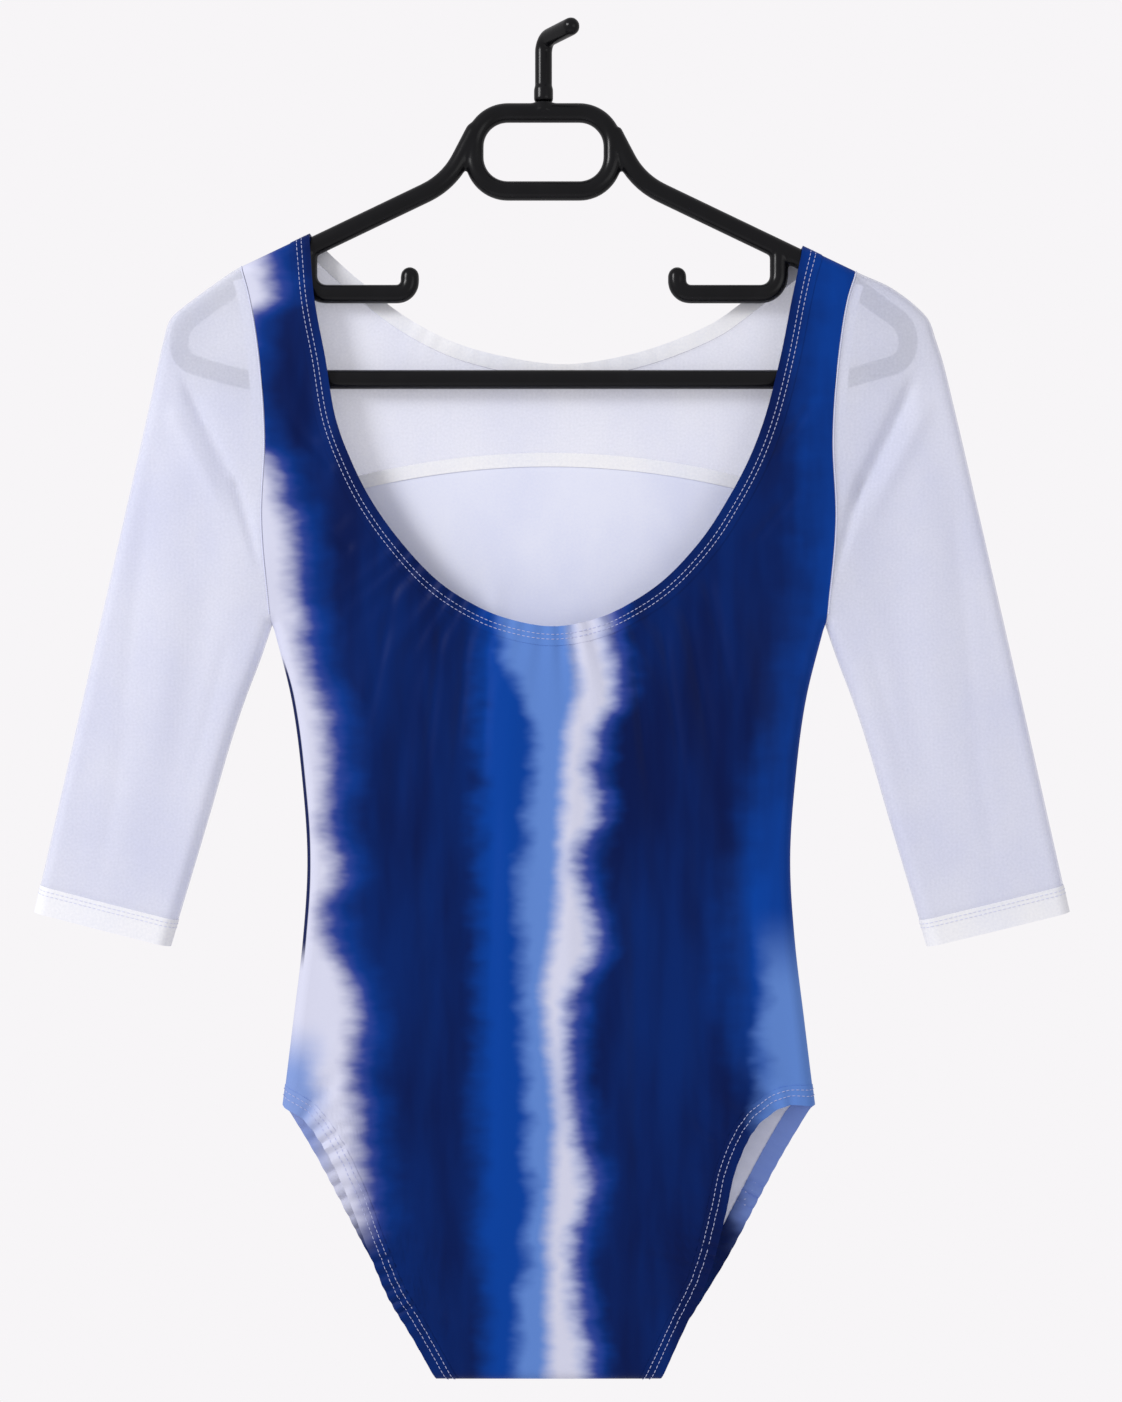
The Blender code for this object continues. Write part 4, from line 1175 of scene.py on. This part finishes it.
@dataclass
class BackPanel:
    """The printed back below the yoke seam, with its leg edges and the seam allowance inside."""

    tailor: Tailor
    columns: int = 150
    allowance: float = 7.0

    def build(self) -> None:
        """Makes the panel, its leg bands and the allowance."""
        tailor, cut, looks = self.tailor, self.tailor.cut, self.tailor.looks
        left, right = (tailor.panel_edge(side, Face.BACK)[tailor.upper :] for side in Side)
        rows = []
        fade = 1 - np.linspace(0, 1, len(left))
        for a, b, share in zip(left, right, fade):
            length = np.linalg.norm(b - a)
            along = spread(0, length, self.columns, tailor.levels, tailor.levels) / length
            row = a + along[:, None] * (b - a)
            bow = cut.yoke_seam_z(row[:, 0])
            bow -= bow[0] + along * (bow[-1] - bow[0])
            rows.append(row + share**2 * np.stack([np.zeros(len(along)), bow], axis=1))
        panel = tailor.cloth("back_cloth", np.array(rows), Face.BACK, (looks.back_print, looks.wrong_side))
        tailor.enter(panel, "printed_jersey", (0.36, 0.54), ["back_panel"])
        leg_hems(tailor, Face.BACK)
        x = np.linspace(left[0][0] + 6.0, right[0][0] - 6.0, 200)
        drops = np.array([-0.6, 0.0, self.allowance - 0.5, self.allowance])
        strip = np.array([np.stack([x, cut.yoke_seam_z(x) - drop], axis=1) for drop in drops])
        outer, inner = tailor.form.over(strip, Face.BACK, (-cut.wall - 0.1, -cut.wall - 0.5))
        piece = wall_of("yoke_allowance", outer, inner, [looks.hem])
        tailor.enter(piece, "sheer_mesh", (0.32, 0.01), ["yoke_seam_allowance"])


@dataclass
class BackYoke:
    """The sheer yoke over the shoulders, with its turned neck edge."""

    tailor: Tailor
    rows: int = 60
    foot_steps: int = 150

    def build(self) -> None:
        """Makes the yoke and its neck band."""
        tailor, cut, looks = self.tailor, self.tailor.cut, self.tailor.looks
        left, right = (tailor.armhole(side)[: tailor.upper + 1] for side in Side)
        foot_x = np.linspace(left[-1][0], right[-1][0], self.foot_steps + 1)
        foot = np.stack([foot_x, cut.yoke_seam_z(foot_x)], axis=1)
        rim = np.vstack([left, foot[1:-1], right[::-1]])
        under = cut.yoke_band * cut.under_band
        hem = tailor.neck(cut.back_neck, cut.back_neck_bottom, len(rim) - 1, [under])[0]
        places = between(hem, rim, np.linspace(0, 1, self.rows + 1))
        yoke = tailor.cloth("yoke_mesh", places, Face.BACK, (looks.sheer,))
        tailor.enter(yoke, "sheer_mesh", (0.37, 0.16), ["back_yoke"])
        edges = tailor.neck(cut.back_neck, cut.back_neck_bottom, 260, [0.0, 0.7, 4.0, 7.3, cut.yoke_band])
        tailor.band(
            "boat_neck_hem", edges, Face.BACK, looks.hem, "sheer_mesh", (0.011, 0.38), "neck_band_back"
        )


@dataclass
class Sleeve:
    """A sheer sleeve as one flattened tube, with its hem, its seam and the armhole allowance."""

    tailor: Tailor
    side: Side
    rows: int = 120
    across: int = 54
    allowance: float = 6.5

    def ring(self, a: Points, b: Points) -> Points:
        """One row of places from the outer fold to the inner fold."""
        length = np.linalg.norm(b - a)
        levels = self.tailor.levels
        along = spread(0, length, self.across, levels, levels) / length
        return a + along[:, None] * (b - a)

    def tube(
        self, name: str, places: Points, look: bpy.types.Material, raised: float, under: float
    ) -> bpy.types.Object:
        """A closed tube wall, with its front half and its back half joined at both folds."""
        form = self.tailor.form
        front = form.over(places, Face.FRONT, (raised, -under))
        back = form.over(places[:, 1:-1], Face.BACK, (raised, -under))
        grids = [np.concatenate([f, b[:, ::-1]], axis=1).transpose(1, 0, 2) for f, b in zip(front, back)]
        return wall_of(name, grids[0], grids[1], (look,), ring=True)

    def build(self) -> None:
        """Makes the sleeve, its hem, the armhole allowance and the stitches along the armhole seam."""
        tailor, cut, looks, side = self.tailor, self.tailor.cut, self.tailor.looks, self.side
        outer_line, inner_line = cut.sleeve_outer_line(side), cut.sleeve_inner_line(side)
        stops = [lengths_of(line)[-1] for line in (outer_line, inner_line)]
        shares = np.linspace(0, 1, self.rows + 1)
        ends = [0.3 + shares * (stop - cut.cuff_hem * 0.5) for stop in stops]
        outer, inner = sample(outer_line, ends[0]), sample(inner_line, ends[1])
        seam = self.armhole_places()
        rows = [self.ring(a, b) for a, b in zip(outer, inner)]
        bend = seam - rows[0]
        places = np.array([row + bend * (1 - share) ** 2 for row, share in zip(rows, shares)])
        sleeve = self.tube(f"sleeve_mesh_{side.word}", places, looks.sheer, 0.0, cut.wall)
        tailor.enter(sleeve, "sheer_mesh", (0.32, 0.40), [f"sleeve_{side.word}"])
        hem_rows = []
        for back in (cut.cuff_hem, cut.cuff_hem - 0.8, cut.cuff_hem * 0.5, 0.9, 0.0):
            a = sample(outer_line, [stops[0] - back])[0]
            b = sample(inner_line, [stops[1] - back])[0]
            hem_rows.append(self.ring(a, b))
        hem = self.tube(f"sleeve_hem_{side.word}", np.array(hem_rows), looks.hem, 0.28, cut.wall + 0.3)
        tailor.enter(hem, "sheer_mesh", (0.17, 0.018), [f"cuff_hem_{side.word}"])
        self.allowances(seam)

    def armhole_places(self) -> Points:
        """The armhole's places, one for each column of the sleeve's grid."""
        cut = self.tailor.cut
        line = cut.armhole_line(self.side)
        levels = self.tailor.levels
        places = sample(line, spread(0, lengths_of(line)[-1], self.across, levels, levels))
        return places + self.side.value * normals_of(places) * 0.3

    def allowances(self, seam: Points) -> None:
        """The armhole's seam allowance, which shows paler through the mesh at the sleeve head."""
        tailor, cut, looks, side = self.tailor, self.tailor.cut, self.tailor.looks, self.side
        line = cut.armhole_line(side)
        edge = sample(line, np.linspace(7.5, 175.0, 90))
        width = self.allowance * smoothstep((190.0 - lengths_of(edge)) / 60.0)[:, None]
        away = side.value * normals_of(edge)
        strip = np.array([edge + away * (0.4 + share * width) for share in (0.0, 0.5, 1.0)])
        for face in Face:
            outer, inner = tailor.form.over(strip, face, (-cut.wall - 0.15, -cut.wall - 0.75))
            piece = wall_of(f"armhole_allowance_{face.name.lower()}_{side.word}", outer, inner, [looks.hem])
            tailor.enter(piece, "sheer_mesh", (0.0105, 0.18))
        full = sample(line, np.linspace(0.5, lengths_of(line)[-1] - 6.0, 120))
        cord = tailor.form.over(full + side.value * normals_of(full) * 0.6, Face.FRONT, (0.05,))[0]
        StitchRow(f"armhole_seam_{side.word}", cord, looks.white_thread, "sheer_mesh", 1.1, 1.5, 0.9).build()


@dataclass(frozen=True)
class StitchRow:
    """A row of stitches along a guide on the cloth, laid by Geometry Nodes."""

    name: str
    guide: Points
    look: bpy.types.Material
    slot: str
    pitch: float = 2.7
    length: float = 2.1
    thick: float = 0.42
    closed: bool = False

    def build(self) -> None:
        """Makes the stitches as one mesh that rides with the garment."""
        mesh = bpy.data.meshes.new(self.name)
        count = len(self.guide)
        edges = [(k, k + 1) for k in range(count - 1)]
        if self.closed:
            edges.append((count - 1, 0))
        mesh.from_pydata((self.guide * MM).tolist(), edges, [])
        guide = bpy.data.objects.new(self.name + "_guide", mesh)
        bpy.context.scene.collection.objects.link(guide)
        tree = stitch_tree()
        modifier = guide.modifiers.new("stitches", "NODES")
        modifier.node_group = tree
        values = {"Pitch": self.pitch * MM, "Length": self.length * MM, "Thickness": self.thick * MM}
        values["Thread"] = self.look
        for item in tree.interface.items_tree:
            if item.item_type == "SOCKET" and item.in_out == "INPUT" and item.name in values:
                modifier[item.identifier] = values[item.name]
        piece = baked(self.name, guide)
        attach(piece, BODY)


def stitch_tree() -> bpy.types.NodeTree:
    """The Geometry Nodes tree that lays stitches along a guide's edges, made once.

    Returns:
        The tree, with inputs Pitch, Length, Thickness and Thread.
    """
    known = bpy.data.node_groups.get("stitch_row")
    if known:
        return known
    tree = bpy.data.node_groups.new("stitch_row", "GeometryNodeTree")
    face = tree.interface
    face.new_socket("Geometry", in_out="INPUT", socket_type="NodeSocketGeometry")
    for name, start in (("Pitch", 0.0027), ("Length", 0.0021), ("Thickness", 0.0004)):
        face.new_socket(name, in_out="INPUT", socket_type="NodeSocketFloat").default_value = start
    face.new_socket("Thread", in_out="INPUT", socket_type="NodeSocketMaterial")
    face.new_socket("Geometry", in_out="OUTPUT", socket_type="NodeSocketGeometry")

    def add(kind: str, **settings: Any) -> bpy.types.Node:
        """Adds a node with its settings."""
        made = tree.nodes.new(kind)
        for key, setting in settings.items():
            setattr(made, key, setting)
        return made

    given, result = add("NodeGroupInput"), add("NodeGroupOutput")
    curve = add("GeometryNodeMeshToCurve")
    even = add("GeometryNodeResampleCurve", mode="LENGTH")
    tangent = add("GeometryNodeInputTangent")
    turn = add("FunctionNodeAlignRotationToVector", axis="Z")
    stitch = add("GeometryNodeMeshUVSphere")
    stitch.inputs["Segments"].default_value = 6
    stitch.inputs["Rings"].default_value = 5
    stitch.inputs["Radius"].default_value = 0.5
    size = add("ShaderNodeCombineXYZ")
    laid = add("GeometryNodeInstanceOnPoints")
    real = add("GeometryNodeRealizeInstances")
    dressed = add("GeometryNodeSetMaterial")
    routes = (
        (given, "Geometry", curve, "Mesh"),
        (curve, "Curve", even, "Curve"),
        (given, "Pitch", even, "Length"),
        (tangent, "Tangent", turn, "Vector"),
        (even, "Curve", laid, "Points"),
        (stitch, "Mesh", laid, "Instance"),
        (turn, "Rotation", laid, "Rotation"),
        (given, "Thickness", size, "X"),
        (given, "Thickness", size, "Y"),
        (given, "Length", size, "Z"),
        (size, "Vector", laid, "Scale"),
        (laid, "Instances", real, "Geometry"),
        (real, "Geometry", dressed, "Geometry"),
        (given, "Thread", dressed, "Material"),
        (dressed, "Geometry", result, "Geometry"),
    )
    for source, out, target, into in routes:
        tree.links.new(source.outputs[out], target.inputs[into])
    return tree


@dataclass
class Stitching:
    """Twin-needle rows along every turned edge."""

    tailor: Tailor
    neck_rows: tuple[float, float] = (4.4, 7.0)
    boat_rows: tuple[float, float] = (3.2, 5.4)
    leg_rows: tuple[float, float] = (5.0, 8.2)
    cuff_rows: tuple[float, float] = (10.6, 12.8)
    lift: float = 0.36

    def row(self, name: str, places: Points, face: Face, look: bpy.types.Material, slot: str) -> None:
        """Lays one open row over places on the cloth."""
        guide = self.tailor.form.over(places, face, (self.lift,))[0]
        StitchRow(name, guide, look, slot).build()

    def build(self) -> None:
        """Sews the necklines, legs and cuffs."""
        tailor, cut, looks = self.tailor, self.tailor.cut, self.tailor.looks
        for k, line in enumerate(tailor.neck(cut.front_neck, cut.front_neck_bottom, 420, self.neck_rows)):
            self.row(f"scoop_stitches_{k + 1}", line, Face.FRONT, looks.thread, "printed_jersey")
        for k, line in enumerate(tailor.neck(cut.back_neck, cut.back_neck_bottom, 300, self.boat_rows)):
            self.row(f"boat_neck_stitches_{k + 1}", line, Face.BACK, looks.white_thread, "sheer_mesh")
        for side in Side:
            for face in Face:
                for k, line in enumerate(tailor.leg(side, face, 160, self.leg_rows)):
                    name = f"leg_stitches_{face.name.lower()}_{side.word}_{k + 1}"
                    self.row(name, line, face, looks.thread, "printed_jersey")
            self.cuff(side)

    def cuff(self, side: Side) -> None:
        """Sews two closed rows round a sleeve's hem."""
        tailor, cut, looks = self.tailor, self.tailor.cut, self.tailor.looks
        lines = [cut.sleeve_outer_line(side), cut.sleeve_inner_line(side)]
        for k, back in enumerate(self.cuff_rows):
            a, b = (sample(line, [lengths_of(line)[-1] - back])[0] for line in lines)
            length = np.linalg.norm(b - a)
            along = spread(0, length, 60, tailor.levels, tailor.levels) / length
            places = a + along[:, None] * (b - a)
            front = tailor.form.over(places, Face.FRONT, (self.lift,))[0]
            rear = tailor.form.over(places[1:-1], Face.BACK, (self.lift,))[0]
            guide = np.vstack([front, rear[::-1]])
            StitchRow(
                f"cuff_stitches_{side.word}_{k + 1}", guide, looks.white_thread, "sheer_mesh", closed=True
            ).build()


@dataclass
class Hanger:
    """The moulded hanger: one frame of round bar, and the hook in its collar."""

    look: bpy.types.Material
    tube: float = 5.3
    centre_x: float = -3.9
    centre_y: float = 11.2
    arm_apex_drop: float = 48.5
    arm_slope: float = math.radians(25.6)
    loop_half: float = 38.2
    loop_top_drop: float = 35.6
    loop_bottom_drop: float = 78.5
    loop_corner: float = 18.5
    bar_drop: float = 182.2
    strap_hook_x: float = 129.5
    strap_tip_x: float = 73.5
    strap_hook_drop: float = 135.2
    strap_tip_drop: float = 125.5
    boss_top_drop: float = 29.9
    hook_tube: float = 4.4
    hook_turn: float = math.radians(57.7)
    hook_bend: float = 6.5
    hook_reach: float = 32.4
    melt: float = 0.35
    sides: int = 32
    voxel: float = 0.85
    # Distance from centre, drop, bend
    arm_corners: Rows = (
        (168, 129, 60), (200.5, 153, 16), (200.5, 172, 12), (165, 182.2, 40),
    )

    def path(self, corners: Rows, step: float = math.radians(5.0)) -> Points:
        """A flat path through corners, each rounded by its own bend.

        Args:
            corners: Distance across, height and bend radius of each.
            step: The turn between one point of a bend and the next.

        Returns:
            The path's points.
        """
        points = [np.array(corners[0][:2], float)]
        for before, corner, after in zip(corners, corners[1:], corners[2:]):
            here = np.array(corner[:2], float)
            back = np.array(before[:2], float) - here
            on = np.array(after[:2], float) - here
            back /= np.linalg.norm(back)
            on /= np.linalg.norm(on)
            half = math.acos(np.clip(back @ on, -1, 1)) / 2
            middle = (back + on) / np.linalg.norm(back + on)
            centre = here + middle * corner[2] / math.sin(half)
            start = here + back * corner[2] / math.tan(half) - centre
            way = np.sign(start[0] * (here - centre)[1] - start[1] * (here - centre)[0])
            turn = math.pi - 2 * half
            for angle in np.linspace(0, way * turn, max(2, round(turn / step)) + 1):
                c, s = math.cos(angle), math.sin(angle)
                points.append(centre + np.array([c * start[0] - s * start[1], s * start[0] + c * start[1]]))
        points.append(np.array(corners[-1][:2], float))
        return np.array(points)

    def bar(
        self, mesh: bmesh.types.BMesh, path: Points, radius: float, closed: bool, turned: float = 0.0
    ) -> None:
        """Adds a round bar along a flat path to a mesh, with a rounded far end.

        Args:
            mesh: The mesh it joins.
            path: The bar's centre line, across and up.
            radius: The bar's radius in millimetres.
            closed: True where the path joins itself.
            turned: How far the path's plane is turned about the vertical.
        """
        if closed:
            before, after = np.roll(path, 1, axis=0), np.roll(path, -1, axis=0)
        else:
            before = np.vstack([2 * path[0] - path[1], path[:-1]])
            after = np.vstack([path[1:], 2 * path[-1] - path[-2]])
        along = after - before
        along /= np.linalg.norm(along, axis=1)[:, None]
        stations = [(place, way, radius) for place, way in zip(path, along)]
        if not closed:
            place, way, _ = stations[-1]
            for angle in np.radians((15, 30, 45, 60, 75, 86)):
                stations.append((place + way * radius * math.sin(angle), way, radius * math.cos(angle)))
        over = np.array([math.cos(turned), -math.sin(turned), 0.0])
        level = np.array([math.sin(turned), math.cos(turned), 0.0])
        up = np.array([0.0, 0.0, 1.0])
        centre = np.array([self.centre_x, self.centre_y, 0.0])
        rings = []
        for place, way, size in stations:
            side = -way[1] * over + way[0] * up
            middle = centre + place[0] * over + place[1] * up
            angles = np.arange(self.sides) * 2 * math.pi / self.sides
            ring = middle + size * (np.cos(angles)[:, None] * side + np.sin(angles)[:, None] * level)
            rings.append([mesh.verts.new(point) for point in (ring * MM).tolist()])
        for i in range(len(rings) if closed else len(rings) - 1):
            here, there = rings[i], rings[(i + 1) % len(rings)]
            for k in range(self.sides):
                m = (k + 1) % self.sides
                mesh.faces.new((here[k], here[m], there[m], there[k]))
        if not closed:
            mesh.faces.new(rings[0][::-1])
            mesh.faces.new(rings[-1])

    def cone(self, mesh: bmesh.types.BMesh, low: float, high: float, radii: tuple[float, float]) -> None:
        """Adds an upright cone at the hook's foot."""
        wide, narrow, tall = radii[0] * MM, radii[1] * MM, (high - low) * MM
        made = bmesh.ops.create_cone(
            mesh, cap_ends=True, segments=48, radius1=wide, radius2=narrow, depth=tall
        )
        middle = Vector((self.centre_x, self.centre_y, (low + high) / 2)) * MM
        bmesh.ops.translate(mesh, verts=made["verts"], vec=middle)

    def moulded(self, name: str, mesh: bmesh.types.BMesh, node: str) -> None:
        """Melts overlapping bars into one moulded body with small fillets."""
        bmesh.ops.recalc_face_normals(mesh, faces=mesh.faces)
        rough = add_mesh(name + "_bars", mesh, [self.look])
        remesh = rough.modifiers.new("melt", "REMESH")
        remesh.mode = "VOXEL"
        remesh.voxel_size = self.voxel * MM
        remesh.use_smooth_shade = True
        soften = rough.modifiers.new("soften", "SMOOTH")
        soften.factor = 0.5
        soften.iterations = 6
        piece = baked(name, rough)
        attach(piece, BODY)
        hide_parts(node)

    def build(self) -> None:
        """Makes the frame and the hook."""
        mesh = bmesh.new()
        half, corner = self.loop_half, self.loop_corner
        top, bottom = -self.loop_top_drop, -self.loop_bottom_drop
        loop = [(half, top, corner), (half, bottom, corner), (-half, bottom, corner), (-half, top, corner)]
        start = (0.0, top, 0.0)
        self.bar(mesh, self.path([start, *loop, start])[:-1], self.tube, True)
        slope = math.tan(self.arm_slope)
        right = [
            (half - 0.4, -46.0, 0.0),
            (52.1, -(self.arm_apex_drop + slope * 52.1), 42.0),
            *[(x, -drop, bend) for x, drop, bend in self.arm_corners],
        ]
        left = [(-x, z, bend) for x, z, bend in reversed(right)]
        self.bar(mesh, self.path(right + left), self.tube, False)
        for side in Side:
            way = side.value
            top_drop = self.arm_apex_drop + slope * self.strap_hook_x
            corners = [
                (way * self.strap_hook_x, -top_drop, 0.0),
                (way * self.strap_hook_x, -self.strap_hook_drop, 10.0),
                (way * self.strap_tip_x, -self.strap_hook_drop, 7.0),
                (way * self.strap_tip_x, -self.strap_tip_drop, 0.0),
            ]
            self.bar(mesh, self.path(corners), self.tube - 0.2, False)
        self.cone(mesh, -self.loop_top_drop, -self.boss_top_drop, (6.6, 5.3))
        self.moulded("hanger_body", mesh, "hanger_frame")
        mesh = bmesh.new()
        crown, low = self.hook_tube, -self.boss_top_drop + 0.3
        corners = [(0.0, low + 2.0, 0.0), (0.0, crown, self.hook_bend), (self.hook_reach - crown, crown, 0.0)]
        self.bar(mesh, self.path(corners), self.hook_tube + self.melt, False, self.hook_turn)
        self.cone(mesh, low, low + 7.6, (5.35, 5.35))
        self.moulded("swivel_hook", mesh, "hanger_hook")


@dataclass(frozen=True)
class Studio:
    """The camera, soft lights and pale surroundings."""

    frame_height: int = 1402
    pixel: float = 0.55
    middle: tuple[float, float] = (5.7, -359.0)
    distance: float = 1150.0
    plane_y: float = 11.2
    sensor: float = 36.0
    pale: tuple[float, ...] = tone(247, 245, 247)
    ambient: float = 0.62

    def camera(self) -> None:
        """Sets the camera level with the middle of the view, looking along +Y."""
        data = bpy.data.cameras.new("camera")
        data.sensor_width = self.sensor
        data.lens = self.sensor * self.distance / (self.frame_height * self.pixel)
        camera = bpy.data.objects.new("camera", data)
        camera.location = (self.middle[0] * MM, (self.plane_y - self.distance) * MM, self.middle[1] * MM)
        camera.rotation_euler = (math.pi / 2, 0.0, 0.0)
        bpy.context.scene.collection.objects.link(camera)
        bpy.context.scene.camera = camera

    def light(self, name: str, place: Points, power: float, size: float) -> None:
        """Adds a large soft light that faces the garment."""
        data = bpy.data.lights.new(name, "AREA")
        data.energy = power
        data.size = size
        lamp = bpy.data.objects.new(name, data)
        lamp.location = place
        way = Vector((0.0, 0.0, -0.36)) - Vector(place)
        lamp.rotation_euler = way.to_track_quat("-Z", "Y").to_euler()
        bpy.context.scene.collection.objects.link(lamp)

    def floor(self) -> None:
        """Adds a pale floor far under the garment."""
        mesh = bmesh.new()
        bmesh.ops.create_circle(mesh, cap_ends=True, segments=96, radius=1.1)
        bmesh.ops.translate(mesh, verts=mesh.verts, vec=(0.0, 0.0, -1.25))
        graph = Graph("floor_paint")
        cloud = graph.noise(400.0, 400.0, 4.0)
        look = graph.finish(Base_Color=graph.mix(cloud + 0.5, self.pale, tone(240, 239, 242)), Roughness=0.8)
        add_mesh("floor", mesh, [look])

    def build(self) -> None:
        """Sets the whole studio."""
        self.camera()
        world = bpy.data.worlds.new("studio")
        world.use_nodes = True
        tree = world.node_tree
        seen = tree.nodes["Background"]
        seen.inputs["Color"].default_value = self.pale
        soft = tree.nodes.new("ShaderNodeBackground")
        soft.inputs["Color"].default_value = self.pale
        soft.inputs["Strength"].default_value = self.ambient
        path = tree.nodes.new("ShaderNodeLightPath")
        mix = tree.nodes.new("ShaderNodeMixShader")
        tree.links.new(path.outputs["Is Camera Ray"], mix.inputs[0])
        tree.links.new(soft.outputs[0], mix.inputs[1])
        tree.links.new(seen.outputs[0], mix.inputs[2])
        tree.links.new(mix.outputs[0], tree.nodes["World Output"].inputs["Surface"])
        bpy.context.scene.world = world
        bpy.context.scene.view_settings.view_transform = "Standard"
        self.light("key", (-1.55, -1.15, 0.55), 25.0, 0.6)
        self.light("fill", (1.3, -1.6, -0.2), 4.0, 1.0)
        self.floor()


def main() -> None:
    """Builds the garment, its stitching, the hanger and the studio."""
    form = Form(Leotard())
    looks = Wardrobe()
    tailor = Tailor(form, looks)
    FrontPanel(tailor).build()
    BackPanel(tailor).build()
    BackYoke(tailor).build()
    for side in Side:
        Sleeve(tailor, side).build()
    Stitching(tailor).build()
    Hanger(looks.plastic).build()
    Studio().build()


if __name__ == "__main__":
    logging.basicConfig(level=logging.INFO, format="%(message)s")
    main()
